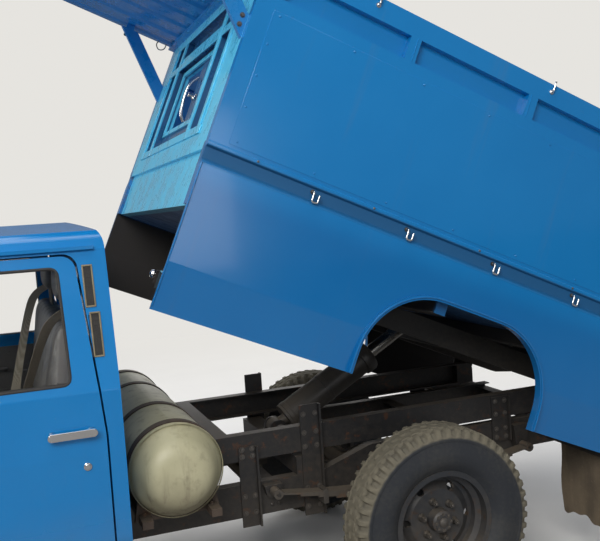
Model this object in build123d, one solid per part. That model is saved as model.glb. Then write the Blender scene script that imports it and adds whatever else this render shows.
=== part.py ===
from build123d import *
import os
from math import atan2, cos, degrees, hypot, radians, sin

# A small bonneted dump truck with its bed raised.
# Millimetres, +X forward, +Y left, +Z up. While it is modelled the rear axle is at X 0,
# and the ground is at Z 0. The bed is modelled lying flat, then turned about its hinge.

# Wheels and axles
WHEELBASE = 2800
TYRE_R = 395
TYRE_WIDTH = 205
REAR_WHEEL_Y = 700
FRONT_WHEEL_Y = 695
RIM_R = 203
RIM_WIDTH = 150
RIM_FLANGE = 15
RIM_WELL = 22
RIM_STEEL = 7
HAND_HOLES = 6
HAND_HOLE_R = 15
HUB_R = 50
HUB_LENGTH = 60
STUB_R = 25
DRUM_R = 140
DRUM_WALL = 12
AXLE_TUBE_R = 45
DIFF_R = 145
DIFF_WIDTH = 150
PINION_LENGTH = 235
KINGPIN_Y = 600
KINGPIN_R = 12
KINGPIN_BOSS_R = 24
KNUCKLE_REACH = 85
STEER_ARM = 160
STEER_LIMIT = 28
TIE_ROD_R = 12
RUN_GAP = 0.5
SEAT_GAP = 0.3

# Where the main parts stand along the truck
CAB_REAR_X = WHEELBASE - 1535
CAB_FRONT_X = WHEELBASE - 465
COWL_X = WHEELBASE - 400
NOSE_X = WHEELBASE + 655
BED_FRONT_X = CAB_REAR_X - 25
BED_REAR_X = -1160

# Springs
SPRING_WIDTH = 60
LEAF = 8
REAR_LEAVES = 6
FRONT_LEAVES = 4
REAR_SPRING_Y = 470
FRONT_SPRING_Y = 370
REAR_SPRING_HALF = 600
FRONT_SPRING_HALF = 520
REAR_RISE = 50
FRONT_RISE = 28
SPRING_EYE_R = 20
SPRING_PIN_R = 8
REAR_SEAT_Z = TYRE_R + AXLE_TUBE_R + 12
FRONT_SEAT_Z = TYRE_R - 45

# Chassis rails: a table of X and the height of the rail's top
RAIL_OUT = 400
RAIL_DEPTH = 140
RAIL_FLANGE = 50
RAIL_STEEL = 6
RAIL_REAR_X = -960
RAIL_FRONT_X = NOSE_X - 25
RAIL_TOP_REAR = 660
RAIL_TOP_MID = 580
RAIL_TOP_FRONT = 640
KICK_REAR = (140, 380)
KICK_FRONT = (WHEELBASE - 450, WHEELBASE - 240)
MEMBER_WIDTH = 60
MEMBER_DEPTH = 90

# Hoist subframe and its hydraulic ram
PIVOT_X = -813
PIVOT_Z = 750
PIVOT_R = 18
BED_TILT = 23.5
BED_TILT_MAX = 40
HOIST_TOP = 790
HOIST_DEPTH = 110
HOIST_FRONT_X = 780
POST_STEEL = 8
POST_LIP = 28
RAM_FOOT_X = 450
RAM_FOOT_Z = 700
RAM_BARREL_R = 70
RAM_BARREL_LENGTH = 572
RAM_BORE_BOTTOM = 75
RAM_ROD_R = 32
RAM_ROD_INNER = 285
RAM_EYE_R = 36
RAM_EYE_WIDTH = 62
RAM_PIN_R = 18
RAM_EYE_DX = 650
RAM_EYE_DZ = 100
RAM_TURN_RATIO = 0.55
RAM_SLIDE_PER_DEGREE = 8.6

# Towing plates
TOW_BORE_R = 18
TOW_PLATE = 12
TOW_DROP = 34
TOW_REAR_X = RAIL_REAR_X + 45
TOW_FRONT_X = RAIL_FRONT_X - 12

# Gas cylinder across the frame behind the cab
GAS_X = CAB_REAR_X - 208
GAS_Z = 765
GAS_R = 178
GAS_HALF = 750
GAS_DOME = 105
STRAP_STEEL = 4
STRAP_WIDTH = 46
STRAP_Y = (600, 250)
SADDLE_STEEL = 10

# Engine, fuel tank and exhaust
ENGINE_HALF = 235
ENGINE_X = (WHEELBASE - 380, WHEELBASE + 240)
ENGINE_Z = (455, 975)
GEARBOX_REAR_X = WHEELBASE - 840
GEARBOX_Z = 430
CLUTCH_LENGTH = 240
SHAFT_R = 34
RADIATOR_X = (NOSE_X - 220, NOSE_X - 160)
RADIATOR_HALF = 300
RADIATOR_TOP_Z = 985
FUEL_X = (CAB_REAR_X + 55, CAB_REAR_X + 575)
FUEL_Y = (412, 650)
FUEL_Z = (300, 548)
EXHAUST_R = 24
EXHAUST_Y = -285
EXHAUST_Z = 355
SILENCER_R = 72
SILENCER_X = (1250, 1800)
TAIL_PIPE_X = 700

# Cab
CAB_HALF = 850
CAB_SILL_Z = 500
CAB_CREASE_Z = 930
BELT_Z = 1140
GUTTER_Z = 1620
GUTTER_HALF = CAB_HALF - 128
ROOF_Z = 1722
CAB_WALL = 45
FLOOR_Z = 640
FLOOR_PLATE = 40
SCREEN_TOP_X = COWL_X - 315
DOOR_REAR_X = CAB_REAR_X + 60
DOOR_FRONT_X = CAB_FRONT_X - 55
DOOR_BOTTOM_Z = 560
DOOR_LEAN = 50
DOOR_GAP = 7
DOOR_HINGE_GAP = 9
DOOR_HINGE_R = 4.6
DOOR_HINGE_HEIGHTS = (650, 890)
DOOR_HINGE_LENGTH = 60
DOOR_OPEN = 65
WINDOW_BOTTOM_Z = 1172
WINDOW_TOP_Z = 1562
WINDOW_REAR_X = DOOR_REAR_X + 100
GLASS = 5
HANDLE_X = DOOR_REAR_X + 111
HANDLE_Z = 1010
VENT_X = CAB_REAR_X + 66
VENT_HEIGHTS = (1329, 1494)
VENT_WIDTH = 30
VENT_HEIGHT = 136
VENT_DEPTH = 8
DOOR_DEPTH = (CAB_HALF - 250, CAB_HALF + 50)
DOOR_HINGE_X = DOOR_FRONT_X + 5
DOOR_HINGE_Y = CAB_HALF - 1

# Steering wheel and its column
WHEEL_X = COWL_X - 465
WHEEL_Z = 1120
WHEEL_Y = 375
COLUMN_LEAN = 42
STEERING_R = 195

# Front end
NOSE_Z = 1020
COWL_Z = 1135
SKIN = 12
WING_BOTTOM_Z = 500
ARCH_R = 440
ARCH_LIP = 12
HOOD_HALF = CAB_HALF - 195
HOOD_LIP_Z = 968
HOOD_OPEN = 50
HOOD_GAP = 11
HOOD_PIN_R = 5.2
HOOD_PIN_Y = (90, 190)
HOOD_PIN_X = COWL_X + 5.3
HOOD_PIN_Z = COWL_Z - 4
GRILLE_HALF = CAB_HALF - 115
GRILLE_BOTTOM_Z = 640
GRILLE_BARS = 6
LAMP_R = 82
LAMP_Y = GRILLE_HALF - 145
LAMP_Z = 805
BUMPER_Z = (500, 622)
BUMPER_HALF = CAB_HALF - 45
BUMPER_STEEL = 45

# Bed
BED_HALF = 850
SKIRT_Z = 567
BED_RAIL_Z = 1193
BED_CREASE_UP = 176
BED_BAND = 78
BED_BAND_INSET = 12
BED_WALL = 62
SKIRT_STEEL = 14
BED_FLOOR_Z = 955
BED_FLOOR_PLATE = 12
BED_BEAM_OUT = 392
BED_BEAM_WIDTH = 45
BED_BEAM_CLEAR = 5
BED_BEAM_FRONT_X = 800
BED_RIB_DEPTH = 60
BED_RIB_WIDTH = 50
BED_RIB_X = (-1060, -700, -380, 120, 370, 640)
EAR_STEEL = 12
BED_ARCH_FRONT = 802
BED_ARCH_REAR = 1654
BED_ARCH_UP = 372
BED_ARCH_CORNER = 290
BED_ARCH_LIP = 15

# Box above the bed
BOX_TOP_Z = 1937
BOX_SHEET_TOP_Z = 1727
BOX_HALF = BED_HALF - 5
BOX_FRAME = 40
BOX_SHEET = 20
BOX_TOP_RAIL = 81
BOX_MID_RAIL = 37
BOX_POST = 87
BOX_STILE = 47
BOX_BAYS = 4
WALL_THICK = 50
VISOR_LENGTH = 950
VISOR_THICK = 26
VISOR_Z = 1905
VISOR_STRUT = 217
VISOR_STRUT_WIDTH = 88
VISOR_RIBS = 9
VISOR_RIB_RISE = 10
VISOR_SHEET = 12
HOOK_Y_OUT = 14
HOOK_R = 4
GATE_THICK = 40
GATE_GAP = 10
GATE_PIN_R = 8
GATE_PIN_SET = 12
GATE_PIN_INTO = 22
TAILGATE_OPEN = 90
UPPER_GATE_OPEN = 60

# Mud flaps and lamps
FLAP_X = -800
FLAP_Y = (480, 812)
FLAP_Z = (205, 575)
FLAP_THICK = 8
REAR_LAMP_Y = 570
REAR_LAMP_HALF = 110


def box(x0, x1, y0, y1, z0, z1):
    """A block between two corners."""
    return Pos((x0 + x1) / 2, (y0 + y1) / 2, (z0 + z1) / 2) * Box(x1 - x0, y1 - y0, z1 - z0)


def outline(rows):
    """A face from rows of first coordinate, second coordinate and corner radius."""
    points = [(a, b) for a, b, r in rows]
    return make_face(FilletPolyline(*points, radius=[r for a, b, r in rows], close=True))


def side_plate(rows, y0, y1):
    """An outline in X and Z, from y0 to y1."""
    return extrude(Plane.XZ.offset(-y1) * outline(rows), y1 - y0, dir=(0, -1, 0))


def cross_plate(rows, x0, x1):
    """An outline in Y and Z, from x0 to x1."""
    return extrude(Plane.YZ.offset(x0) * outline(rows), x1 - x0, dir=(1, 0, 0))


def plan_plate(rows, z0, z1):
    """An outline in X and Y, from z0 to z1."""
    return extrude(Plane.XY.offset(z0) * outline(rows), z1 - z0, dir=(0, 0, 1))


def rod(p, q, r):
    """A round bar of radius r from p to q."""
    run = Vector(*q) - Vector(*p)
    return extrude(Plane(origin=p, z_dir=run) * Circle(r), run.length, dir=run)


def tube(p, q, r, bore):
    """A round bar from p to q with a bore right through."""
    return rod(p, q, r) - rod(p, q, bore)


def cross_turned(rows, x, y, z):
    """Rows of distance along Y, radius and corner radius, turned about the Y line through x and z."""
    plane = Plane(origin=(x, y, z), x_dir=(0, 1, 0), z_dir=(1, 0, 0))
    return revolve(plane * outline(rows), axis=Axis((x, y, z), (0, 1, 0)))


def long_turned(rows, x, y, z):
    """Rows of distance along X, radius and corner radius, turned about the X line through y and z."""
    plane = Plane(origin=(x, y, z), x_dir=(1, 0, 0), z_dir=(0, -1, 0))
    return revolve(plane * outline(rows), axis=Axis((x, y, z), (1, 0, 0)))


def other_side(shape):
    """The same piece on the right-hand side."""
    return mirror(shape, about=Plane.XZ)


def both_sides(shape):
    """The piece and its mirror image, as separate solids."""
    return group(shape, other_side(shape))


def group(*shapes):
    """Solids that share one node."""
    return Compound([solid for shape in shapes for solid in shape.solids()])


def symmetric(rows):
    """Rows of half an outline in Y and Z, completed about the centre plane."""
    return rows + [(-a, b, r) for a, b, r in reversed(rows) if a > 0]


# Chassis frame
def rail_rows(inset, stretch):
    """The rail's side outline, inset top and bottom and stretched at both ends."""
    tops = [
        (RAIL_REAR_X - stretch, RAIL_TOP_REAR, 0),
        (KICK_REAR[0], RAIL_TOP_REAR, 150),
        (KICK_REAR[1], RAIL_TOP_MID, 150),
        (KICK_FRONT[0], RAIL_TOP_MID, 150),
        (KICK_FRONT[1], RAIL_TOP_FRONT, 150),
        (RAIL_FRONT_X + stretch, RAIL_TOP_FRONT, 0),
    ]
    upper = [(x, z - inset, r) for x, z, r in tops]
    lower = [(x, z - RAIL_DEPTH + inset, r) for x, z, r in reversed(tops)]
    return upper + lower


def frame_rails():
    """Two channel rails with a kick-up over each axle, open inwards."""
    web_in = RAIL_OUT - RAIL_STEEL
    rail = side_plate(rail_rows(0, 0), RAIL_OUT - RAIL_FLANGE, RAIL_OUT)
    rail -= side_plate(rail_rows(RAIL_STEEL, 5), RAIL_OUT - RAIL_FLANGE - 5, web_in)
    for hanger in spring_hangers():
        rail += hanger
    return both_sides(rail)


def crossmembers():
    """Channels between the rails, and those of the hoist frame on top of them."""
    # X of the middle, top of the rail there
    frame_table = [
        (RAIL_REAR_X + MEMBER_WIDTH / 2, RAIL_TOP_REAR),
        (-330, RAIL_TOP_REAR),
        (600, RAIL_TOP_MID),
        (1250, RAIL_TOP_MID),
        (RAIL_FRONT_X - 60, RAIL_TOP_FRONT),
    ]
    reach = RAIL_OUT - RAIL_STEEL
    members = []
    for x, top in frame_table:
        z = top - RAIL_DEPTH / 2
        half = MEMBER_WIDTH / 2
        member = box(x - half, x + half, -reach, reach, z - MEMBER_DEPTH / 2, z + MEMBER_DEPTH / 2)
        member -= box(x - half + RAIL_STEEL, x + half + 1, -reach - 1, reach + 1,
                      z - MEMBER_DEPTH / 2 + RAIL_STEEL, z + MEMBER_DEPTH / 2 - RAIL_STEEL)
        members.append(member)
    hoist_low = HOIST_TOP - HOIST_DEPTH
    members.append(box(HOIST_FRONT_X, HOIST_FRONT_X + MEMBER_WIDTH, -RAIL_OUT, RAIL_OUT, hoist_low, HOIST_TOP))
    foot_top = RAM_FOOT_Z - RAM_EYE_R - 6
    foot = box(RAM_FOOT_X - 45, RAM_FOOT_X + 45, -RAIL_OUT, RAIL_OUT, RAIL_TOP_MID, foot_top)
    for side in (-1, 1):
        y = side * (RAM_EYE_WIDTH / 2 + 2 + POST_STEEL)
        ear = side_plate([
            (RAM_FOOT_X - 45, foot_top, 0),
            (RAM_FOOT_X - 34, RAM_FOOT_Z + 36, 30),
            (RAM_FOOT_X + 34, RAM_FOOT_Z + 36, 30),
            (RAM_FOOT_X + 45, foot_top, 0),
        ], y - POST_STEEL, y + POST_STEEL)
        foot += ear
    pin_half = RAM_EYE_WIDTH / 2 + 2 + 2 * POST_STEEL
    foot += rod((RAM_FOOT_X, -pin_half, RAM_FOOT_Z), (RAM_FOOT_X, pin_half, RAM_FOOT_Z), RAM_PIN_R)
    members.append(foot)
    return group(*members)


def hoist_rails():
    """The hoist frame's two channels, with their posts, bolted over the chassis rails."""
    low = HOIST_TOP - HOIST_DEPTH
    round_end = HOIST_TOP - PIVOT_Z
    flange_in = RAIL_OUT - RAIL_FLANGE
    rail = side_plate([
        (PIVOT_X - round_end, low, 0),
        (HOIST_FRONT_X, low, 0),
        (HOIST_FRONT_X, HOIST_TOP, 0),
        (PIVOT_X - round_end, HOIST_TOP, round_end - 1),
    ], flange_in, RAIL_OUT)
    rail -= box(PIVOT_X + 60, HOIST_FRONT_X - RAIL_STEEL, flange_in - 1, RAIL_OUT - RAIL_STEEL,
                low + RAIL_STEEL, HOIST_TOP - RAIL_STEEL)
    rail += rod((PIVOT_X, RAIL_OUT - 10, PIVOT_Z), (PIVOT_X, RAIL_OUT + 30, PIVOT_Z), PIVOT_R)
    # X from, X to, Z from, Z to
    post_table = [
        (380, 470, 400, 880),
        (670, 750, 400, low + 60),
        (-570, -480, RAIL_TOP_REAR - 90, low + 100),
    ]
    for x0, x1, z0, z1 in post_table:
        post = box(x0, x1, RAIL_OUT, RAIL_OUT + POST_STEEL, z0, z1)
        post += box(x0, x0 + POST_STEEL, RAIL_OUT, RAIL_OUT + POST_LIP, z0, z1)
        rail += post
    return both_sides(rail)


# Axles and springs
def spring(x, y, half, leaves, rise_full, seat_z):
    """A leaf spring: leaves of falling length, stacked on a seat, with rolled eyes."""
    stack = None
    for i in range(leaves):
        z = seat_z + (leaves - 1 - i) * LEAF
        reach = half * (1 - 0.8 * i / leaves)
        rise = rise_full * (reach / half) ** 2
        lower = ThreePointArc((x - reach, z + rise), (x, z), (x + reach, z + rise))
        upper = ThreePointArc((x - reach, z + rise + LEAF), (x, z + LEAF), (x + reach, z + rise + LEAF))
        ends = [Line(lower @ 0, upper @ 0), Line(lower @ 1, upper @ 1)]
        face = make_face(Curve() + [lower, upper] + ends)
        leaf = extrude(Plane.XZ.offset(-y - SPRING_WIDTH / 2) * face, SPRING_WIDTH, dir=(0, -1, 0))
        stack = leaf if stack is None else stack + leaf
    eye_z = eye_height(leaves, rise_full, seat_z)
    for end in (-1, 1):
        centre = x + end * (half + SPRING_EYE_R - 4)
        a = (centre, y - SPRING_WIDTH / 2, eye_z)
        b = (centre, y + SPRING_WIDTH / 2, eye_z)
        stack += rod(a, b, SPRING_EYE_R)
        stack -= rod(a, b, SPRING_PIN_R + SEAT_GAP)
    return stack


def eye_height(leaves, rise_full, seat_z):
    """Height of a spring's eyes."""
    return seat_z + (leaves - 1) * LEAF + rise_full + LEAF / 2


def tow_eyes():
    """Four towing plates bolted outside the rails' ends, each with a bore for a shackle pin."""
    eyes = []
    for x, top in ((TOW_REAR_X, RAIL_TOP_REAR), (TOW_FRONT_X, RAIL_TOP_FRONT)):
        low = top - RAIL_DEPTH
        plate = side_plate([
            (x - 38, low - TOW_DROP - 34, 30),
            (x + 38, low - TOW_DROP - 34, 30),
            (x + 38, low + 60, 8),
            (x - 38, low + 60, 8),
        ], RAIL_OUT, RAIL_OUT + TOW_PLATE)
        eyes.append(plate - rod((x, RAIL_OUT - 1, low - TOW_DROP), (x, RAIL_OUT + 40, low - TOW_DROP), TOW_BORE_R))
    return group(*[both_sides(eye) for eye in eyes])


def leaf_springs():
    """Four leaf springs over the axles."""
    rear = spring(0, REAR_SPRING_Y, REAR_SPRING_HALF, REAR_LEAVES, REAR_RISE, REAR_SEAT_Z)
    front = spring(WHEELBASE, FRONT_SPRING_Y, FRONT_SPRING_HALF, FRONT_LEAVES, FRONT_RISE, FRONT_SEAT_Z)
    return group(both_sides(rear), both_sides(front))


def spring_hangers():
    """Brackets and pins on the left rail that carry the spring eyes."""
    hangers = []
    rear_eye = eye_height(REAR_LEAVES, REAR_RISE, REAR_SEAT_Z)
    inner = REAR_SPRING_Y - SPRING_WIDTH / 2
    outer = REAR_SPRING_Y + SPRING_WIDTH / 2
    for end in (-1, 1):
        x = end * (REAR_SPRING_HALF + SPRING_EYE_R - 4)
        top = RAIL_TOP_REAR - 20 if end < 0 else RAIL_TOP_MID - 10
        arm = side_plate([
            (x - 28, rear_eye - 28, 20),
            (x + 28, rear_eye - 28, 20),
            (x + 40, top, 0),
            (x - 40, top, 0),
        ], RAIL_OUT, inner - 1)
        arm += rod((x, inner - 1, rear_eye), (x, outer + 6, rear_eye), SPRING_PIN_R)
        hangers.append(arm)
    front_eye = eye_height(FRONT_LEAVES, FRONT_RISE, FRONT_SEAT_Z)
    inner = FRONT_SPRING_Y - SPRING_WIDTH / 2
    outer = FRONT_SPRING_Y + SPRING_WIDTH / 2
    for end in (-1, 1):
        x = WHEELBASE + end * (FRONT_SPRING_HALF + SPRING_EYE_R - 4)
        under = RAIL_TOP_FRONT - RAIL_DEPTH if end > 0 else RAIL_TOP_MID - RAIL_DEPTH
        cheek = side_plate([
            (x - 24, front_eye - 24, 18),
            (x + 24, front_eye - 24, 18),
            (x + 34, under, 0),
            (x - 34, under, 0),
        ], inner - 9, inner - 1)
        cheek += Pos(0, SPRING_WIDTH + 10, 0) * cheek
        cheek += box(x - 34, x + 34, inner - 9, outer + 9, under - 6, under)
        cheek += rod((x, inner - 9, front_eye), (x, outer + 9, front_eye), SPRING_PIN_R)
        hangers.append(cheek)
    return hangers


def rear_axle():
    """A banjo axle: tube, differential housing, spring seats, backing plates and stub ends."""
    y = REAR_WHEEL_Y
    face = y - 62
    axle = rod((0, -face, TYRE_R), (0, face, TYRE_R), AXLE_TUBE_R)
    axle += cross_turned([
        (-DIFF_WIDTH / 2, 0, 0),
        (-DIFF_WIDTH / 2, DIFF_R - 45, 30),
        (-DIFF_WIDTH / 2 + 45, DIFF_R, 30),
        (DIFF_WIDTH / 2 - 45, DIFF_R, 30),
        (DIFF_WIDTH / 2, DIFF_R - 45, 30),
        (DIFF_WIDTH / 2, 0, 0),
    ], 0, 0, TYRE_R)
    axle += rod((100, 0, TYRE_R), (PINION_LENGTH, 0, TYRE_R + 5), 48)
    for side in (-1, 1):
        seat_y = side * REAR_SPRING_Y
        half = SPRING_WIDTH / 2
        axle += box(-60, 60, seat_y - half, seat_y + half, TYRE_R, REAR_SEAT_Z - SEAT_GAP)
        axle += rod((0, side * (face - 1), TYRE_R), (0, side * (face + 4), TYRE_R), DRUM_R - DRUM_WALL - 8)
        axle += rod((0, side * face, TYRE_R), (0, side * (y + 40), TYRE_R), STUB_R)
    return axle


def front_axle():
    """A dropped I-beam with spring seats and a kingpin boss at each end."""
    drop = TYRE_R - 65
    beam = cross_plate([
        (-KINGPIN_Y, TYRE_R - 30, 0),
        (-KINGPIN_Y + 60, TYRE_R - 30, 40),
        (-KINGPIN_Y + 130, drop - 30, 60),
        (KINGPIN_Y - 130, drop - 30, 60),
        (KINGPIN_Y - 60, TYRE_R - 30, 40),
        (KINGPIN_Y, TYRE_R - 30, 0),
        (KINGPIN_Y, TYRE_R + 30, 0),
        (KINGPIN_Y - 75, TYRE_R + 30, 60),
        (KINGPIN_Y - 145, FRONT_SEAT_Z - 6, 40),
        (-KINGPIN_Y + 145, FRONT_SEAT_Z - 6, 40),
        (-KINGPIN_Y + 75, TYRE_R + 30, 60),
        (-KINGPIN_Y, TYRE_R + 30, 0),
    ], WHEELBASE - 28, WHEELBASE + 28)
    for end in (-1, 1):
        web = box(WHEELBASE + end * 29 - 19, WHEELBASE + end * 29 + 19, -430, 430, drop - 18, drop + 2)
        beam -= web
    for side in (-1, 1):
        y = side * KINGPIN_Y
        seat_y = side * FRONT_SPRING_Y
        half = SPRING_WIDTH / 2
        beam += box(WHEELBASE - 50, WHEELBASE + 50, seat_y - half, seat_y + half,
                    FRONT_SEAT_Z - 16, FRONT_SEAT_Z - SEAT_GAP)
        boss_low = (WHEELBASE, y, TYRE_R - 52)
        boss_high = (WHEELBASE, y, TYRE_R + 52)
        beam += rod(boss_low, boss_high, KINGPIN_BOSS_R)
        beam -= rod(boss_low, boss_high, KINGPIN_R + RUN_GAP)
    return beam


def knuckle():
    """The left steering knuckle: two lugs on the kingpin, a plate, the stub and the steering arm."""
    x = WHEELBASE
    plate_y = KINGPIN_Y + 32
    part = box(x - 42, x + 42, plate_y, plate_y + 12, TYRE_R - KNUCKLE_REACH, TYRE_R + KNUCKLE_REACH)
    for z0, z1 in ((TYRE_R - KNUCKLE_REACH, TYRE_R - 54), (TYRE_R + 54, TYRE_R + KNUCKLE_REACH)):
        lug = box(x - 26, x + 26, KINGPIN_Y, plate_y, z0, z1)
        lug += rod((x, KINGPIN_Y, z0), (x, KINGPIN_Y, z1), 26)
        part += lug
    part += rod((x, KINGPIN_Y, TYRE_R - KNUCKLE_REACH), (x, KINGPIN_Y, TYRE_R + KNUCKLE_REACH), KINGPIN_R)
    part += rod((x, plate_y, TYRE_R), (x, FRONT_WHEEL_Y + 40, TYRE_R), STUB_R)
    arm_z = TYRE_R - KNUCKLE_REACH
    part += plan_plate([
        (x + 20, KINGPIN_Y - 20, 15),
        (x + 20, KINGPIN_Y + 20, 15),
        (x - STEER_ARM, KINGPIN_Y - 10, 12),
        (x - STEER_ARM - 18, KINGPIN_Y - 25, 10),
        (x - STEER_ARM, KINGPIN_Y - 42, 12),
    ], arm_z, arm_z + 20)
    return part


def tie_rod():
    """The bar that joins the two steering arms, with a ball housing at each end."""
    x = WHEELBASE - STEER_ARM
    y = KINGPIN_Y - 25
    z = TYRE_R - KNUCKLE_REACH - SEAT_GAP - TIE_ROD_R - 4
    bar = rod((x, -y, z), (x, y, z), TIE_ROD_R)
    for side in (-1, 1):
        bar += rod((x, side * y, z - 14), (x, side * y, z + TIE_ROD_R + 4), 17)
    return bar


# Wheels
def rim(x, y, side):
    """A deep steel rim with its dished disc, hub and brake drum. side is +1 on the left."""
    half = RIM_WIDTH / 2
    well = RIM_R - RIM_WELL
    t = RIM_STEEL
    barrel = [
        (half, RIM_R + RIM_FLANGE, 0),
        (half - t, RIM_R + RIM_FLANGE, 0),
        (half - t, RIM_R, 0),
        (half * 0.45, RIM_R, 0),
        (half * 0.3, well, 0),
        (-half * 0.3, well, 0),
        (-half * 0.45, RIM_R, 0),
        (-half + t, RIM_R, 0),
        (-half + t, RIM_R + RIM_FLANGE, 0),
        (-half, RIM_R + RIM_FLANGE, 0),
        (-half, RIM_R - t, 0),
        (-half * 0.4, RIM_R - t, 0),
        (-half * 0.25, well - t, 0),
        (half * 0.25, well - t, 0),
        (half * 0.4, RIM_R - t, 0),
        (half, RIM_R - t, 0),
    ]
    centre = [
        (-48, STUB_R + RUN_GAP, 0),
        (-48, HUB_R, 0),
        (-38, HUB_R, 0),
        (-38, DRUM_R - DRUM_WALL, 0),
        (-60, DRUM_R - DRUM_WALL, 0),
        (-60, DRUM_R, 0),
        (-26, DRUM_R, 0),
        (-26, HUB_R + 34, 0),
        (0, HUB_R + 34, 0),
        (0, well - 62, 8),
        (-22, well - 30, 8),
        (-22, well - 3, 0),
        (-12, well - 3, 0),
        (-12, well - 26, 8),
        (10, well - 58, 8),
        (10, HUB_R, 0),
        (HUB_LENGTH - 8, HUB_R - 4, 0),
        (HUB_LENGTH, HUB_R - 14, 0),
        (HUB_LENGTH, 0, 0),
        (HUB_LENGTH - 14, 0, 0),
        (HUB_LENGTH - 14, STUB_R + RUN_GAP, 0),
    ]
    wheel = cross_turned(centre, x, y, TYRE_R)
    for i in range(HAND_HOLES):
        angle = radians(360 * i / HAND_HOLES)
        hole_x = x + (well - 42) * cos(angle)
        hole_z = TYRE_R + (well - 42) * sin(angle)
        wheel -= rod((hole_x, y - 24, hole_z), (hole_x, y + 20, hole_z), HAND_HOLE_R)
    wheel += cross_turned(barrel, x, y, TYRE_R)
    return wheel if side > 0 else wheel.rotate(Axis((x, y, TYRE_R), (0, 0, 1)), 180)


def tyre(x, y):
    """A truck tyre: bulged side walls, square shoulders and a flat tread."""
    half = TYRE_WIDTH / 2
    rows = [
        (-RIM_WIDTH / 2 + RIM_STEEL + 1, RIM_R + SEAT_GAP, 0),
        (-RIM_WIDTH / 2 + RIM_STEEL + 1, RIM_R + RIM_FLANGE + 6, 8),
        (-half, RIM_R + 70, 40),
        (-half + 8, TYRE_R - 30, 20),
        (-half + 22, TYRE_R, 12),
        (half - 22, TYRE_R, 12),
        (half - 8, TYRE_R - 30, 20),
        (half, RIM_R + 70, 40),
        (RIM_WIDTH / 2 - RIM_STEEL - 1, RIM_R + RIM_FLANGE + 6, 8),
        (RIM_WIDTH / 2 - RIM_STEEL - 1, RIM_R + SEAT_GAP, 0),
    ]
    return cross_turned(rows, x, y, TYRE_R)


# Engine, driveline and tanks
def engine_block():
    """The engine as one block between the rails."""
    return box(*ENGINE_X, -ENGINE_HALF, ENGINE_HALF, *ENGINE_Z)


def driveline():
    """Gearbox, propeller shaft and its joints."""
    nose = PINION_LENGTH + 1 + SEAT_GAP
    nose_z = TYRE_R + 5
    box_end = ENGINE_X[0] - SEAT_GAP
    clutch_x = box_end - CLUTCH_LENGTH
    part = cross_plate([(-150, 370, 40), (150, 370, 40), (150, 590, 60), (-150, 590, 60)], clutch_x, box_end)
    part += cross_plate([(-85, 375, 30), (85, 375, 30), (85, 540, 40), (-85, 540, 40)], GEARBOX_REAR_X, clutch_x)
    part += rod((nose, 0, nose_z), (GEARBOX_REAR_X, 0, GEARBOX_Z), SHAFT_R)
    part += rod((nose, 0, nose_z), (nose + 60, 0, nose_z + 2), SHAFT_R + 12)
    part += rod((GEARBOX_REAR_X - 70, 0, GEARBOX_Z - 1), (GEARBOX_REAR_X + 5, 0, GEARBOX_Z), SHAFT_R + 10)
    return part


def exhaust():
    """Exhaust pipe with a silencer, ending ahead of the right rear wheel."""
    port_x = ENGINE_X[0] + 280
    port_z = ENGINE_Z[0] + 185
    path = FilletPolyline(
        (port_x, -ENGINE_HALF - SEAT_GAP, port_z),
        (port_x, EXHAUST_Y - 10, port_z),
        (port_x - 140, EXHAUST_Y, EXHAUST_Z),
        (TAIL_PIPE_X + 280, EXHAUST_Y, EXHAUST_Z),
        (TAIL_PIPE_X + 160, -640, EXHAUST_Z),
        (TAIL_PIPE_X, -760, EXHAUST_Z),
        radius=[20, 90, 110, 110],
    )
    pipe = sweep(Plane(origin=path @ 0, z_dir=path % 0) * Circle(EXHAUST_R), path=path)
    pipe += rod((SILENCER_X[0], EXHAUST_Y, EXHAUST_Z), (SILENCER_X[1], EXHAUST_Y, EXHAUST_Z), SILENCER_R)
    return pipe


def fuel_tank():
    """A pressed fuel tank outside the left rail, hung from two straps on a bracket."""
    x0, x1 = FUEL_X
    y0, y1 = FUEL_Y
    z0, z1 = FUEL_Z
    tank = cross_plate([(y0, z0, 30), (y1, z0, 45), (y1, z1, 45), (y0, z1, 30)], x0, x1)
    for x in (x0 + 90, x1 - 90):
        tank += box(x - 20, x + 20, RAIL_OUT, y0 + 20, z1 - 90, z1 - 20)
    return tank


def gas_cylinder():
    """The gas cylinder across the frame, with domed ends."""
    rows = [
        (-GAS_HALF, 0, 0),
        (-GAS_HALF + 10, GAS_R * 0.62, 90),
        (-GAS_HALF + GAS_DOME, GAS_R, 90),
        (GAS_HALF - GAS_DOME, GAS_R, 90),
        (GAS_HALF - 10, GAS_R * 0.62, 90),
        (GAS_HALF, 0, 0),
    ]
    return cross_turned(rows, GAS_X, 0, GAS_Z)


def cylinder_cradle():
    """Cross bars on the rails, with saddles and straps round the cylinder."""
    seat = GAS_R + SEAT_GAP
    bar_top = GAS_Z - GAS_R - 4
    part = None
    for x in (GAS_X - 130, GAS_X + 130):
        bar = box(x - 20, x + 20, -700, 700, RAIL_TOP_MID, bar_top + 26)
        part = bar if part is None else part + bar
    for y in [side * y for y in STRAP_Y for side in (-1, 1)]:
        saddle = side_plate([
            (GAS_X - 165, bar_top - 3, 0),
            (GAS_X + 165, bar_top - 3, 0),
            (GAS_X + 140, GAS_Z - 62, 10),
            (GAS_X - 140, GAS_Z - 62, 10),
        ], y - SADDLE_STEEL, y + SADDLE_STEEL)
        part += saddle
        half = STRAP_WIDTH / 2
        part += tube((GAS_X, y - half, GAS_Z), (GAS_X, y + half, GAS_Z), seat + STRAP_STEEL, seat)
    part -= rod((GAS_X, -GAS_HALF, GAS_Z), (GAS_X, GAS_HALF, GAS_Z), seat)
    return part


# Cab
def cab_shell(inset, thick):
    """The cab's outer skin of a given thickness, with no floor."""
    return cab_block(inset) - cab_block(inset + thick)


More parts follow.
